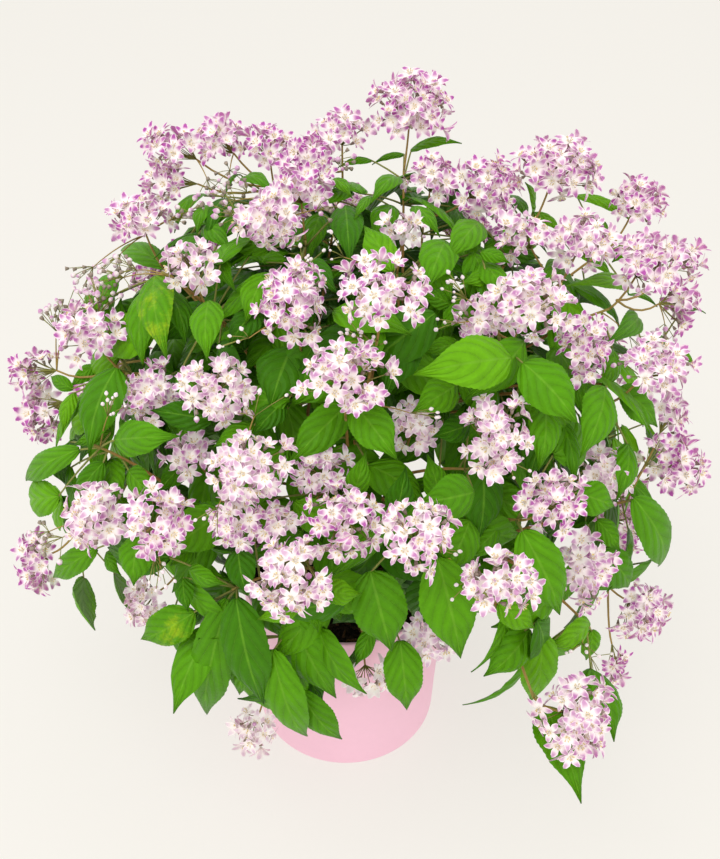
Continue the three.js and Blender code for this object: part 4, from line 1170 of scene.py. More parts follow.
def group_shader(name, inputs, outputs):
    """An empty shader node group with named sockets. Each input is its name, socket type and default."""
    tree = bpy.data.node_groups.new(name, "ShaderNodeTree")
    for title, kind, default in inputs:
        socket = tree.interface.new_socket(name=title, in_out="INPUT", socket_type=kind)
        socket.default_value = default
    for title, kind in outputs:
        tree.interface.new_socket(name=title, in_out="OUTPUT", socket_type=kind)
    return tree, tree.nodes.new("NodeGroupInput"), tree.nodes.new("NodeGroupOutput")


def maths(tree, operation, first, second=None, third=None, clamp=False):
    """A maths node; each operand is a socket or a number."""
    node = tree.nodes.new("ShaderNodeMath")
    node.operation = operation
    node.use_clamp = clamp
    for index, operand in enumerate((first, second, third)):
        if operand is None:
            continue
        if isinstance(operand, bpy.types.NodeSocket):
            tree.links.new(operand, node.inputs[index])
        else:
            node.inputs[index].default_value = operand
    return node.outputs[0]


def product(tree, *factors, clamp=False):
    """The product of sockets and numbers."""
    value = factors[0]
    for factor in factors[1:]:
        value = maths(tree, "MULTIPLY", value, factor, clamp=clamp)
    return value


def rest(tree, value):
    """1 less a value."""
    return maths(tree, "SUBTRACT", 1.0, value)


def ramp(tree, value, low, high):
    """0 below low, 1 above high and smooth between them."""
    node = tree.nodes.new("ShaderNodeMapRange")
    node.interpolation_type = "SMOOTHSTEP"
    tree.links.new(value, node.inputs["Value"])
    node.inputs["From Min"].default_value = low
    node.inputs["From Max"].default_value = high
    return node.outputs["Result"]


def blend(tree, factor, first, second):
    """A colour mix; each colour is a socket or a colour, and the factor a socket or a number."""
    node = tree.nodes.new("ShaderNodeMix")
    node.data_type = "RGBA"
    for socket, value in ((node.inputs[0], factor), (node.inputs[6], first), (node.inputs[7], second)):
        if isinstance(value, bpy.types.NodeSocket):
            tree.links.new(value, socket)
        else:
            socket.default_value = value if isinstance(value, float) else (*value[:3], 1.0)
    return node.outputs[2]


def attribute(tree, name):
    """The number that a piece keeps at each of its points."""
    node = tree.nodes.new("ShaderNodeAttribute")
    node.attribute_name = name
    return node.outputs["Fac"]


def noise(tree, vector, scale, detail, roughness):
    """Cloudy noise between 0 and 1 on the given coordinates."""
    node = tree.nodes.new("ShaderNodeTexNoise")
    tree.links.new(vector, node.inputs["Vector"])
    node.inputs["Scale"].default_value = scale
    node.inputs["Detail"].default_value = detail
    node.inputs["Roughness"].default_value = roughness
    return node.outputs["Fac"]


def on_shape(tree):
    """How far across a leaf, petal or stamen a point lies and how far along it, each from 0 to 1."""
    uv = tree.nodes.new("ShaderNodeUVMap")
    uv.uv_map = "shape"
    parts = tree.nodes.new("ShaderNodeSeparateXYZ")
    tree.links.new(uv.outputs[0], parts.inputs[0])
    return parts.outputs["X"], parts.outputs["Y"]


def off_midline(tree, breadth):
    """0 on the middle line and 1 on either edge."""
    return maths(tree, "ABSOLUTE", maths(tree, "MULTIPLY_ADD", breadth, 2.0, -1.0))


@lru_cache(maxsize=1)
def mottle_group():
    """Uneven tone: two sizes of cloudy noise on Object coordinates, as a tone about 1 and as a height."""
    tree, entry, leave = group_shader(
        "uneven_tone",
        (("Scale", "NodeSocketFloat", 40.0), ("Strength", "NodeSocketFloat", 0.1)),
        (("Tone", "NodeSocketFloat"), ("Height", "NodeSocketFloat")),
    )
    place = tree.nodes.new("ShaderNodeTexCoord").outputs["Object"]
    broad = tree.nodes.new("ShaderNodeTexNoise")
    fine = tree.nodes.new("ShaderNodeTexNoise")
    for node, detail in ((broad, 2.0), (fine, 4.0)):
        tree.links.new(place, node.inputs["Vector"])
        node.inputs["Detail"].default_value = detail
    tree.links.new(entry.outputs["Scale"], broad.inputs["Scale"])
    tree.links.new(maths(tree, "MULTIPLY", entry.outputs["Scale"], 7.0), fine.inputs["Scale"])
    height = maths(tree, "MULTIPLY_ADD", fine.outputs["Fac"], 0.35, product(tree, broad.outputs["Fac"], 0.65))
    offset = maths(tree, "MULTIPLY", maths(tree, "SUBTRACT", height, 0.5), entry.outputs["Strength"])
    tree.links.new(maths(tree, "ADD", maths(tree, "MULTIPLY", offset, 2.0), 1.0), leave.inputs["Tone"])
    tree.links.new(height, leave.inputs["Height"])
    return tree


def mottle(tree, scale, strength):
    """The tone and height of the uneven tone group at one scale and strength."""
    node = tree.nodes.new("ShaderNodeGroup")
    node.node_tree = mottle_group()
    node.inputs["Scale"].default_value = scale
    node.inputs["Strength"].default_value = strength
    return node.outputs["Tone"], node.outputs["Height"]


def toned(tree, colour, tone):
    """A colour times a tone."""
    node = tree.nodes.new("ShaderNodeVectorMath")
    node.operation = "SCALE"
    if isinstance(colour, bpy.types.NodeSocket):
        tree.links.new(colour, node.inputs[0])
    else:
        node.inputs[0].default_value = colour[:3]
    tree.links.new(tone, node.inputs["Scale"])
    return node.outputs[0]


def bumped(tree, shader, height, distance, strength=1.0):
    """A bump of that height on the shader's normal."""
    node = tree.nodes.new("ShaderNodeBump")
    node.inputs["Distance"].default_value = distance
    node.inputs["Strength"].default_value = strength
    tree.links.new(height, node.inputs["Height"])
    tree.links.new(node.outputs[0], shader.inputs["Normal"])


def new_finish(name, roughness, specular):
    """A material with its shader's own sockets set."""
    material = bpy.data.materials.new(name)
    material.use_nodes = True
    shader = material.node_tree.nodes["Principled BSDF"]
    shader.inputs["Roughness"].default_value = roughness
    shader.inputs["Specular IOR Level"].default_value = specular
    return material, material.node_tree, shader


@lru_cache(maxsize=1)
def pot_finish():
    """Matte moulded pink, a little uneven in tone, with a fine sandy grain."""
    material, tree, shader = new_finish("matte_pink_pot", 0.62, 0.35)
    tone, height = mottle(tree, 18.0, 0.05)
    tree.links.new(toned(tree, settings().pot.colour, tone), shader.inputs["Base Color"])
    bumped(tree, shader, height, 0.0003, 0.5)
    return material


@lru_cache(maxsize=1)
def soil_finish():
    """Moist dark compost: crumbs in two browns, the darker one in the hollows between crumbs, where it is
    partly the compost's own brown and partly painted shade.
    """
    material, tree, shader = new_finish("bark_compost", 0.95, 0.2)
    place = tree.nodes.new("ShaderNodeTexCoord").outputs["Object"]
    crumbs = noise(tree, place, 320.0, 6.0, 0.7)
    colours = settings().soil
    # The darker brown follows the low parts of the bump: painted shade in the hollows on top of the compost's
    # own dark brown.
    colour = blend(tree, ramp(tree, crumbs, 0.4, 0.65), colours.dark, colours.light)
    tree.links.new(colour, shader.inputs["Base Color"])
    bumped(tree, shader, crumbs, 0.002)
    return material


@lru_cache(maxsize=1)
def chip_finish():
    """Chips of bark and fibre, each in its own brown, with a fine grain along them."""
    material, tree, shader = new_finish("bark_chips", 0.9, 0.25)
    tone, height = mottle(tree, 220.0, 0.35)
    colours = settings().soil
    colour = blend(tree, attribute(tree, "tint"), colours.chip_dark, colours.chip_light)
    tree.links.new(toned(tree, colour, tone), shader.inputs["Base Color"])
    bumped(tree, shader, height, 0.0006)
    return material


@lru_cache(maxsize=1)
def stem_finish():
    """Bark: dark brown on the old wood, turning to orange brown and then to green on the young growth."""
    material, tree, shader = new_finish("stem_bark", 0.7, 0.35)
    colours = settings().stems
    age = attribute(tree, "age")
    tone, height = mottle(tree, 260.0, 0.3)
    young = blend(tree, ramp(tree, age, 0.5, 0.75), colours.twig, colours.green)
    young = blend(tree, ramp(tree, age, 0.85, 0.95), young, colours.calyx)
    colour = blend(tree, ramp(tree, age, 0.05, 0.4), colours.old_wood, young)
    tree.links.new(toned(tree, colour, tone), shader.inputs["Base Color"])
    bumped(tree, shader, height, 0.0004, 0.6)
    return material


@lru_cache(maxsize=1)
def vein_group():
    """The veins of a leaf on its own UV map: the midrib, and pairs of side veins that leave it at a slant and
    curve to the tip. Side vein: the fraction of v * pairs - slant * |u| stays near 0."""
    tree, entry, leave = group_shader(
        "leaf_veins",
        (("Pairs", "NodeSocketFloat", VEIN_PAIRS), ("Slant", "NodeSocketFloat", VEIN_SLANT)),
        (("Midrib", "NodeSocketFloat"), ("Side", "NodeSocketFloat"), ("Relief", "NodeSocketFloat")),
    )
    breadth, along = on_shape(tree)
    aside = off_midline(tree, breadth)
    curved = maths(tree, "POWER", aside, VEIN_CURVE)
    slant = maths(tree, "MULTIPLY", curved, entry.outputs["Slant"])
    phase = maths(tree, "SUBTRACT", product(tree, along, entry.outputs["Pairs"]), slant)
    saw = maths(tree, "ABSOLUTE", maths(tree, "SUBTRACT", maths(tree, "FRACT", phase), 0.5))
    side = ramp(tree, saw, 0.44, 0.5)
    fade = ramp(tree, rest(tree, aside), 0.02, 0.3)
    midrib = rest(tree, ramp(tree, aside, 0.02, 0.08))
    side = maths(tree, "MULTIPLY", side, fade)
    groove = maths(tree, "MULTIPLY", maths(tree, "MAXIMUM", midrib, side), -0.1)
    tree.links.new(midrib, leave.inputs["Midrib"])
    tree.links.new(side, leave.inputs["Side"])
    # Relief is a height: it drives the leaf's bump and also the painted crease shade in its colour.
    tree.links.new(maths(tree, "ADD", groove, maths(tree, "SUBTRACT", 0.5, saw)), leave.inputs["Relief"])
    return tree


@lru_cache(maxsize=1)
def leaf_finish():
    """Fresh green leaves: three greens by leaf, fine veins, a greyer underside and yellowing patches, with
    painted shade in the creases along the veins and painted light on leaves towards the sides.
    """
    material, tree, shader = new_finish("deutzia_leaf", 0.42, 0.12)
    colours = settings().foliage
    veins = tree.nodes.new("ShaderNodeGroup")
    veins.node_tree = vein_group()
    # The tint holds painted light as well: leaves towards the sides are lighter.
    tint = attribute(tree, "tint")
    green = blend(tree, ramp(tree, tint, 0.0, 0.55), colours.dark, colours.mid)
    green = blend(tree, ramp(tree, tint, 0.65, 1.05), green, colours.bright)
    tone, height = mottle(tree, 60.0, 0.3)
    patch = ramp(tree, maths(tree, "ADD", attribute(tree, "yellowing"), height), 0.95, 1.25)
    green = blend(tree, patch, green, colours.yellow)
    green = blend(tree, maths(tree, "MULTIPLY", veins.outputs["Side"], 0.22), green, colours.vein)
    green = blend(tree, maths(tree, "MULTIPLY", veins.outputs["Midrib"], 0.4), green, colours.vein)
    green = blend(tree, maths(tree, "MULTIPLY", attribute(tree, "under"), 0.8), green, colours.underside)
    # Painted shade: the green is darker in the creases along the veins and lighter on the swells between
    # them.
    painted_crease_shade = maths(tree, "MULTIPLY_ADD", veins.outputs["Relief"], 0.3, 0.9)
    green = toned(tree, green, maths(tree, "MULTIPLY", tone, painted_crease_shade))
    tree.links.new(green, shader.inputs["Base Color"])
    relief = maths(tree, "MULTIPLY_ADD", height, 0.5, veins.outputs["Relief"])
    bumped(tree, shader, relief, 0.0022, 0.85)
    return material


@lru_cache(maxsize=1)
def petal_finish():
    """Creamy white petals with a violet blotch towards the tip, a pale margin and a lilac wash. A faint glow
    stands for the light that comes through them."""
    material, tree, shader = new_finish("deutzia_petal", 0.6, 0.12)
    colours = settings().flowers
    breadth, along = on_shape(tree)
    aside = off_midline(tree, breadth)
    depth = maths(tree, "MULTIPLY_ADD", attribute(tree, "tint"), 0.6, 0.46)
    depth = product(tree, depth, rest(tree, attribute(tree, "whiteness")))
    wash = product(tree, ramp(tree, along, 0.28, 0.7), product(tree, depth, 0.36))
    outer = ramp(tree, along, 0.38, 0.72)
    short = rest(tree, product(tree, ramp(tree, along, 0.9, 1.0), 0.6))
    middle = rest(tree, ramp(tree, aside, 0.42, 0.92))
    blotch = product(tree, product(tree, outer, short), product(tree, middle, depth), clamp=True)
    colour = blend(tree, wash, colours.petal_white, colours.petal_lilac)
    colour = blend(tree, blotch, colour, colours.petal_violet)
    back = maths(tree, "MULTIPLY", ramp(tree, attribute(tree, "under"), 0.15, 0.7), depth)
    colour = blend(tree, maths(tree, "MULTIPLY", back, 0.85, clamp=True), colour, colours.petal_back)
    eye = rest(tree, ramp(tree, along, 0.03, 0.2))
    colour = blend(tree, maths(tree, "MULTIPLY", eye, 0.4), colour, colours.petal_eye)
    tone, height = mottle(tree, 500.0, 0.08)
    colour = toned(tree, colour, tone)
    tree.links.new(colour, shader.inputs["Base Color"])
    tree.links.new(colour, shader.inputs["Emission Color"])
    shader.inputs["Emission Strength"].default_value = colours.petal_glow
    bumped(tree, shader, height, 0.0003, 0.5)
    return material


@lru_cache(maxsize=1)
def stamen_finish():
    """Pale filaments with tan and yellow ends."""
    material, tree, shader = new_finish("stamens", 0.7, 0.3)
    colours = settings().flowers
    _, along = on_shape(tree)
    tan = blend(tree, attribute(tree, "tint"), colours.stamen_tan, colours.stamen_yellow)
    colour = blend(tree, ramp(tree, along, 0.5, 0.8), colours.petal_white, tan)
    tone, _ = mottle(tree, 900.0, 0.1)
    tree.links.new(toned(tree, colour, tone), shader.inputs["Base Color"])
    return material


@lru_cache(maxsize=1)
def floor_finish():
    """A plain pale floor, lit from below as a studio table is, so that shadows on it stay faint."""
    material, tree, shader = new_finish("plain_floor", 0.9, 0.05)
    tone, _ = mottle(tree, 3.0, 0.004)
    colour = np.array(settings().stage.floor_colour)
    tree.links.new(toned(tree, colour * 0.32, tone), shader.inputs["Base Color"])
    shader.inputs["Emission Color"].default_value = (*(colour * 0.68), 1.0)
    shader.inputs["Emission Strength"].default_value = 1.0
    return material


def colour_property(name, description, default):
    """A colour that a user may change."""
    return FloatVectorProperty(
        name=name, description=description, subtype="COLOR", size=3, min=0.0, max=1.0, default=default
    )


def length_property(name, description, default):
    """A length that a user may change."""
    return FloatProperty(
        name=name, description=description, default=default, min=0.0, unit="LENGTH", precision=4
    )


def strength_property(name, description, default):
    """A strength that a user may change."""
    return FloatProperty(name=name, description=description, default=default, min=0.0)


def count_property(name, description, default):
    """A number of things that a user may change."""
    return IntProperty(name=name, description=description, default=default, min=0)


class DeutziaPot(bpy.types.PropertyGroup):
    """The pot."""

    rim_radius: length_property("Rim radius", "Half the width of the pot's rim", 0.095)
    foot_radius: length_property("Foot radius", "Half the width of the pot's foot", 0.088)
    rim_edge: length_property("Rim edge", "How round the rim's edge is", 0.0014)
    foot_edge: length_property("Foot edge", "How round the foot's edge is", 0.0026)
    colour: colour_property("Colour", "The pot's pink", (0.97, 0.60, 0.73))


class DeutziaSoil(bpy.types.PropertyGroup):
    """The soil and its bark chips."""

    chips: count_property("Chips", "How many chips lie on the soil", 420)
    # The dark colour lies in the hollows between crumbs: the compost's own dark brown with painted shade in
    # it.
    dark: colour_property("Dark", "The hollows between crumbs", (0.012, 0.008, 0.006))
    light: colour_property("Light", "The crumbs", (0.055, 0.034, 0.022))
    chip_dark: colour_property("Dark chips", "The darkest chips", (0.035, 0.018, 0.010))
    chip_light: colour_property("Light chips", "The lightest chips", (0.22, 0.115, 0.055))


class DeutziaStems(bpy.types.PropertyGroup):
    """The colours of canes, shoots and stalks."""

    old_wood: colour_property("Old wood", "Bark low on the canes", (0.075, 0.040, 0.022))
    twig: colour_property("Twigs", "Golden brown bark of the shoots", (0.45, 0.245, 0.065))
    green: colour_property("Young growth", "The newest growth", (0.26, 0.28, 0.06))
    calyx: colour_property("Calyx", "The cups under flowers and buds", (0.36, 0.29, 0.23))


class DeutziaFoliage(bpy.types.PropertyGroup):
    """The leaves."""

    thickness: length_property("Thickness", "How thick a leaf is at its midrib", 0.0007)
    inner_leaves: count_property("Inner leaves", "Leaves deeper in the plant", 680)
    bright: colour_property("Bright green", "The lightest leaves", (0.150, 0.42, 0.004))
    mid: colour_property("Mid green", "Most leaves", (0.098, 0.318, 0.003))
    dark: colour_property("Dark green", "The darkest leaves", (0.042, 0.172, 0.002))
    vein: colour_property("Veins", "Midrib and side veins", (0.20, 0.46, 0.03))
    underside: colour_property("Underside", "The greyer lower face", (0.14, 0.27, 0.08))
    yellow: colour_property("Yellowing", "Patches on ageing leaves", (0.30, 0.44, 0.01))


class DeutziaFlowers(bpy.types.PropertyGroup):
    """The flowers."""

    width: length_property("Flower width", "From petal tip to petal tip when pressed flat", 0.0215)
    area_each: FloatProperty(
        name="Area each", description="Smaller values crowd a head with more flowers", default=0.0000215,
        precision=7, min=0.000005,
    )
    petal_white: colour_property("Petal white", "The eye and margins of the petals", (0.92, 0.865, 0.83))
    petal_glow: strength_property("Petal glow", "Light that comes through", 0.13)
    petal_eye: colour_property("Petal eye", "The cream at the foot of the petals", (0.95, 0.84, 0.55))
    petal_lilac: colour_property("Petal lilac", "The wash over the outer petal", (0.80, 0.40, 0.68))
    petal_violet: colour_property("Petal violet", "The blotch near the petal tip", (0.42, 0.085, 0.36))
    petal_back: colour_property("Petal back", "The back of the petals", (0.60, 0.205, 0.50))
    stamen_tan: colour_property("Stamen tan", "Fading stamens", (0.70, 0.52, 0.27))
    stamen_yellow: colour_property("Stamen yellow", "Fresh stamens", (0.90, 0.74, 0.26))


class DeutziaStage(bpy.types.PropertyGroup):
    """The floor, the light and the camera."""

    floor_colour: colour_property("Floor", "The pale floor", (0.92, 0.895, 0.84))
    key_power: strength_property("Key light", "Power of the large soft light", 17.0)
    fill_power: strength_property("Fill light", "Power of the front light", 4.0)
    sky_strength: strength_property("Sky", "Light from all round", 0.9)


class DeutziaSettings(bpy.types.PropertyGroup):
    """All that a user would change."""

    pot: PointerProperty(type=DeutziaPot)
    soil: PointerProperty(type=DeutziaSoil)
    stems: PointerProperty(type=DeutziaStems)
    foliage: PointerProperty(type=DeutziaFoliage)
    flowers: PointerProperty(type=DeutziaFlowers)
    stage: PointerProperty(type=DeutziaStage)


def settings():
    """The settings of the scene."""
    return bpy.context.scene.deutzia


def wall_radius(height):
    """The inside of the pot's wall at a height."""
    pot = settings().pot
    share = (height - POT_FLOOR) / (POT_HEIGHT - POT_FLOOR)
    return pot.foot_radius + (pot.rim_radius - pot.foot_radius) * share - POT_WALL


def soil_height(x, y):
    """The soil's surface: a low mound with two sizes of ripple, sinking a little towards the wall."""
    reach = np.hypot(x, y) / wall_radius(SOIL_TOP)
    ripple = 0.0012 * np.sin(x * 210 + 1.3) * np.cos(y * 190) + 0.0007 * np.sin(x * 530 + y * 410)
    return SOIL_TOP + 0.0012 - 0.0030 * reach**4 + ripple * (1 - reach**6)


class DEUTZIA_OT_pot(bpy.types.Operator):
    """Turn the plain round pot"""

    bl_idname = "deutzia.pot"
    bl_label = "Pot"

    def execute(self, context):
        pot = settings().pot
        edge, lip = pot.foot_edge, pot.rim_edge
        slope = (pot.rim_radius - pot.foot_radius) / POT_HEIGHT
        middle = pot.rim_radius - POT_WALL / 2
        outer = [
            (pot.foot_radius + slope * height, height)
            for height in np.linspace(edge * 1.4, POT_HEIGHT - lip * 1.5, 12)
        ]
        inner = [
            (wall_radius(height), height)
            for height in np.linspace(POT_HEIGHT - lip * 1.5, POT_FLOOR + 0.004, 10)
        ]
        profile = np.concatenate([
            [(0, 0), (pot.foot_radius * 0.5, 0)],
            arc((pot.foot_radius - edge, edge), edge, -90, -4, 7),
            outer,
            arc((middle, POT_HEIGHT - POT_WALL / 2), POT_WALL / 2, 4, 176, 11),
            inner,
            arc((wall_radius(POT_FLOOR) - 0.003, POT_FLOOR + 0.003), 0.003, 0, -90, 5),
            [(0.03, POT_FLOOR), (0, POT_FLOOR)],
        ])
        make_piece("pink_pot", lathe(profile, 160), pot_finish(), ["pot"])
        return {"FINISHED"}


class DEUTZIA_OT_soil(bpy.types.Operator):
    """Fill the pot with compost and scatter bark chips"""

    bl_idname = "deutzia.soil"
    bl_label = "Soil"

    def execute(self, context):
        radii = np.linspace(1, 0.04, 26)
        sides = 96
        ring = unit_ring(sides)
        floor = POT_FLOOR + 0.0006
        bottom = np.concatenate([ring * (wall_radius(floor) - 0.004), np.full((sides, 1), floor)], axis=1)
        flat = (ring[None] * (radii * (wall_radius(SOIL_TOP) - 0.0006))[:, None, None]).reshape(-1, 2)
        top = np.concatenate([flat, soil_height(flat[:, 0], flat[:, 1])[:, None]], axis=1)
        poles = np.array(((0, 0, floor), (0, 0, soil_height(0.0, 0.0))))
        points = np.concatenate([bottom, top, poles])
        shape = Shape(points, closed_rings(len(radii) + 1, sides), points[:, :2] * 10, {})
        make_piece("compost", shape, soil_finish(), ["soil"])
        make_piece("compost_bark_chips", self.chips(), chip_finish(), ["soil"])
        return {"FINISHED"}

    def chips(self):
        """Flat and stick-like chips: short five-sided tubes laid on the soil at random."""
        random = np.random.default_rng(5)
        count = settings().soil.chips
        reach = np.sqrt(random.uniform(0.0, 1.0, count)) * (wall_radius(SOIL_TOP) - 0.010)
        angle = random.uniform(0, 2 * np.pi, count)
        x, y = reach * np.cos(angle), reach * np.sin(angle)
        length = random.uniform(0.003, 0.011, count)
        way = random.uniform(0, 2 * np.pi, count)
        half = np.stack([np.cos(way), np.sin(way), random.normal(0, 0.25, count)], axis=-1)
        half = half * length[:, None] / 2
        middle = np.stack([x, y, soil_height(x, y) + random.uniform(0.0002, 0.0016, count)], axis=-1)
        kink = random.normal(0, 0.0007, (count, 3))
        lines = np.stack([middle - half, middle + kink, middle + half], axis=1)
        thick = random.uniform(0.0005, 0.0016, count)
        radii = np.stack([thick, thick * random.uniform(0.4, 0.9, count)], axis=-1)
        return tubes(lines, radii, 5, 2, {"tint": random.uniform(0, 1, count) ** 1.6})


def cane_node(index):
    """The node of a cane."""
    return f"leafy_cane_{index + 1:02d}"


def head_nodes(cane):
    """The nodes of the heads that a cane bears."""
    return [f"flower_head_{group + 1:02d}" for group in cane.groups]


class DEUTZIA_OT_stems(bpy.types.Operator):
    """Grow the canes and their shoots out of the soil"""

    bl_idname = "deutzia.stems"
    bl_label = "Stems"

    def execute(self, context):
        every_leaf = leaves() + inner_leaves()
        for index, cane in enumerate(canes()):
            trunk = stems([cane.line], TRUNK_RADII, 10, 24, 0.0)
            trunk.values["age"] = trunk.uv[:, 1] * 0.2
            shoots = stems(cane.shoots, SHOOT_RADII, 7, 14, 0.0)
            shoots.values["age"] = 0.2 + shoots.uv[:, 1] * 0.45
            own = [blade for blade in every_leaf if blade.cane == index]
            shape = combined([trunk, shoots, petioles(own)])
            make_piece(f"cane_{index + 1:02d}_stems", shape, stem_finish(), [cane_node(index)])
        return {"FINISHED"}


class DEUTZIA_OT_leaves(bpy.types.Operator):
    """Unfold the leaves of each cane"""

    bl_idname = "deutzia.leaves"
    bl_label = "Leaves"

    def execute(self, context):
        thickness = settings().foliage.thickness
        for index in range(len(canes())):
            outer = [blade for blade in leaves() if blade.cane == index]
            inner = [blade for blade in inner_leaves() if blade.cane == index]
            shape = combined([
                leaf_blades(outer, 20 + index, thickness, *OUTER_LEAF_GRID, LEAF_TOOTH),
                leaf_blades(inner, 40 + index, thickness, *INNER_LEAF_GRID, 0.0),
            ])
            make_piece(f"cane_{index + 1:02d}_leaves", shape, leaf_finish(), [cane_node(index)])
        return {"FINISHED"}


class DEUTZIA_OT_flowers(bpy.types.Operator):
    """Open the flower heads of each cane"""

    bl_idname = "deutzia.flowers"
    bl_label = "Flowers"

    def execute(self, context):
        for index, cane in enumerate(canes()):
            if not cane.groups:
                continue
            blossoms, spindles, stalks = [], [], []
            for group in cane.groups:
                for number, head in enumerate(head_groups()[group]):
                    random = np.random.default_rng(group * 10 + number)
                    far = np.clip(np.linalg.norm(VIEW_EYE - head.centre) / 0.15 - 4.6, 0, 1)
                    whiteness = PALE_HEADS.get(group, random.uniform(-0.1, 0.25) - FAR_HEAD_DEEPER * far)
                    seen = group < len(SEEN_HEADS)
                    self.open_head(head, seen, whiteness, random, blossoms, spindles, stalks)
            nodes = head_nodes(cane)
            title = f"cane_{index + 1:02d}"
            make_piece(f"{title}_blossoms", combined(blossoms), petal_finish(), nodes)
            make_piece(f"{title}_stamens", combined(spindles), stamen_finish(), nodes)
            make_piece(f"{title}_flower_stalks", combined(stalks), stem_finish(), nodes)
        return {"FINISHED"}

    def open_head(self, head, seen, whiteness, random, blossoms, spindles, stalks):
        """The flowers, buds, stamens and stalks of one head, in an outer shell and a sparser inner one."""
        flowers = settings().flowers
        away = np.linalg.norm(VIEW_EYE - head.centre)
        turn = 0.7 * np.clip((0.92 - away) / 0.2, 0.35, 1) if seen else 0.0
        facing = unit(head.facing + unit(VIEW_EYE - head.centre) * turn + np.array((0, 0, 0.25)))
        growth = np.clip(away / 0.67, 0.95, 1.18)
        outer = flower_places(head, facing, random, 1.0, 1.25, flowers.area_each * growth)
        inner = flower_places(head, facing, random, 0.6, 1.0, flowers.area_each * 2.6)
        place, normal = (np.concatenate(pair) for pair in zip(outer, inner))
        closed = random.uniform(0, 1, len(place)) < CLOSED_FLOWERS
        open_place, open_normal = place[~closed], normal[~closed]
        small = min(1.0, 0.74 + head.half.min() / 0.06)
        radius = flowers.width / 2 * small * growth * random.uniform(0.8, 1.1, len(open_place))
        blossoms.append(petals(open_place, open_normal, radius, random, whiteness))
        spindles.append(stamens(open_place, open_normal, radius, random))
        if closed.any():
            size = random.uniform(0.0014, 0.0024, closed.sum())
            blossoms.append(buds(place[closed], normal[closed], size, random, 0.3))
        hub = hub_of(head)
        foot = place - normal * 0.0042
        hubs = np.broadcast_to(hub, foot.shape)
        middle = mix(hubs, foot, 0.55) - normal * 0.002
        lines = np.stack([hubs, middle, foot], axis=1)
        stalks.append(stems(lines, (0.0005, 0.0004), 3, 2, 0.7))
        cups = np.stack([foot, place - normal * 0.0030, place - normal * 0.0008], axis=1)
        stalks.append(stems(cups, (0.0008, 0.0016), 5, 2, 1.0))
        arch = mix(head.joint, hub, 0.55) - np.array((0, 0, np.linalg.norm(hub - head.joint) * 0.22))
        stalks.append(stems([(head.joint, arch, hub)], (0.0010, 0.0008), 6, 5, 0.6))


class DEUTZIA_OT_sprays(bpy.types.Operator):
    """Add the sprays of buds and bare cups between the heads"""

    bl_idname = "deutzia.sprays"
    bl_label = "Bud sprays"

    def execute(self, context):
        random = np.random.default_rng(31)
        rounds, stalks, owners = [], [], set()
        for kind, rows in (("bud", BUD_SPRAYS), ("cup", CUP_SPRAYS)):
            for column, row, behind, number in rows:
                owner = self.spray(kind, on_dome(column, row, behind * MM), number, random, rounds, stalks)
                owners.add(owner)
        nodes = [cane_node(owner) for owner in sorted(owners)]
        make_piece("bud_sprays", combined(rounds), petal_finish(), nodes)
        make_piece("bud_spray_stalks", combined(stalks), stem_finish(), nodes)
        return {"FINISHED"}

    def spray(self, kind, centre, number, random, rounds, stalks):
        """One spray: a thin stem from the nearest shoot or head to a hub, and a stalk to each bud or cup."""
        points, owners = spray_roots()
        nearest = int(np.argmin(np.linalg.norm(points - centre, axis=-1)))
        root = points[nearest]
        hub = centre + unit(root - centre) * 0.011
        place = centre + random.normal(0, 0.005 if kind == "bud" else 0.0058, (number, 3))
        normal = unit(place - hub)
        size = random.uniform(0.0010, 0.0017, number)
        hubs = np.broadcast_to(hub, place.shape)
        if kind == "bud":
            rounds.append(buds(place, normal, size, random, 0.8))
        else:
            closed = number // 2
            rounds.append(buds(place[:closed], normal[:closed], size[:closed] * 1.6, random, 0.35))
            cups = np.stack([place - normal * 0.0018, place, place + normal * 0.0012], axis=1)[closed:]
            stalks.append(stems(cups, (0.0010, 0.0020), 5, 2, 1.0))
        lines = np.stack([hubs, mix(hubs, place, 0.5) + (0, 0, 0.001), place], axis=1)
        stalks.append(stems(lines, (0.0003, 0.0004), 3, 2, 0.7))
        middle = mix(root, hub, 0.5) + np.array((0, 0, np.linalg.norm(hub - root) * 0.12))
        stalks.append(stems([(root, middle, hub)], (0.0007, 0.0004), 4, 8, 0.6))
        return int(owners[nearest])


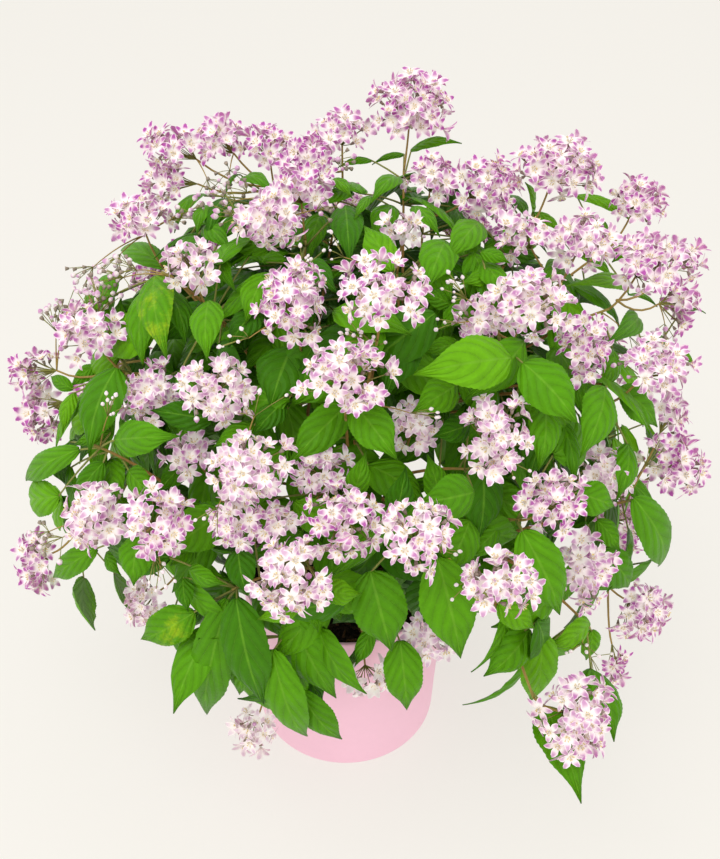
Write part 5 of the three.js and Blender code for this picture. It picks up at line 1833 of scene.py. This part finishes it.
class DEUTZIA_OT_stage(bpy.types.Operator):
    """Set out the floor, the soft light and the camera"""

    bl_idname = "deutzia.stage"
    bl_label = "Stage"

    def execute(self, context):
        stage = settings().stage
        reach = 6.0
        corners = [(-reach, -reach, 0), (reach, -reach, 0), (reach, reach, 0), (-reach, reach, 0)]
        mesh = bpy.data.meshes.new("floor")
        mesh.from_pydata(corners, [], [(0, 1, 2, 3)])
        mesh.materials.append(floor_finish())
        floor = bpy.data.objects.new("floor", mesh)
        context.scene.collection.objects.link(floor)
        self.soft_light("key_light", (-0.7, -0.9, 2.1), 1.8, stage.key_power)
        self.soft_light("fill_light", (1.1, -1.3, 1.3), 1.6, stage.fill_power)
        world = bpy.data.worlds.new("soft_sky")
        world.use_nodes = True
        sky = world.node_tree.nodes["Background"]
        sky.inputs["Color"].default_value = (1.0, 0.985, 0.965, 1.0)
        sky.inputs["Strength"].default_value = stage.sky_strength
        context.scene.world = world
        context.scene.view_settings.view_transform = "Standard"
        lens = bpy.data.cameras.new("camera")
        lens.sensor_width = SENSOR
        lens.lens = VIEW_FOCAL / VIEW_SIZE[1] * SENSOR
        camera = bpy.data.objects.new("camera", lens)
        camera.location = VIEW_EYE
        camera.rotation_euler = (math.pi / 2 - VIEW_TILT, 0, 0)
        context.scene.collection.objects.link(camera)
        context.scene.camera = camera
        return {"FINISHED"}

    def soft_light(self, name, place, size, power):
        """A large square light that looks at the middle of the plant."""
        light = bpy.data.lights.new(name, "AREA")
        light.size = size
        light.energy = power
        lamp = bpy.data.objects.new(name, light)
        lamp.location = place
        way = DOME_CENTRE - np.array(place)
        lamp.rotation_euler[0] = math.atan2(math.hypot(way[0], way[1]), -way[2])
        lamp.rotation_euler[2] = math.atan2(way[1], way[0]) - math.pi / 2
        bpy.context.scene.collection.objects.link(lamp)


class DEUTZIA_PT_panel(bpy.types.Panel):
    """The steps and their settings"""

    bl_idname = "DEUTZIA_PT_panel"
    bl_label = "Potted Deutzia"
    bl_space_type = "VIEW_3D"
    bl_region_type = "UI"
    bl_category = "Deutzia"

    def draw(self, context):
        for step in STEPS:
            self.layout.operator(step.bl_idname)
        for part in ("pot", "soil", "stems", "foliage", "flowers", "stage"):
            box = self.layout.box()
            box.label(text=part.capitalize())
            group = getattr(settings(), part)
            for name in group.bl_rna.properties.keys():
                if name not in ("rna_type", "name"):
                    box.prop(group, name)


STEPS = (
    DEUTZIA_OT_pot,
    DEUTZIA_OT_soil,
    DEUTZIA_OT_stems,
    DEUTZIA_OT_leaves,
    DEUTZIA_OT_flowers,
    DEUTZIA_OT_sprays,
    DEUTZIA_OT_stage,
)
CLASSES = (
    DeutziaPot,
    DeutziaSoil,
    DeutziaStems,
    DeutziaFoliage,
    DeutziaFlowers,
    DeutziaStage,
    DeutziaSettings,
    *STEPS,
    DEUTZIA_PT_panel,
)


def register():
    """Register the classes and the scene's settings."""
    for cls in CLASSES:
        bpy.utils.register_class(cls)
    bpy.types.Scene.deutzia = PointerProperty(type=DeutziaSettings)


def unregister():
    """Take them away again."""
    del bpy.types.Scene.deutzia
    for cls in reversed(CLASSES):
        bpy.utils.unregister_class(cls)


def main():
    """Build everything."""
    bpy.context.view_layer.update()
    register()
    for step in STEPS:
        module, name = step.bl_idname.split(".")
        if getattr(getattr(bpy.ops, module), name)() != {"FINISHED"}:
            raise RuntimeError(f"{step.bl_label} did not finish")


if __name__ == "__main__":
    main()
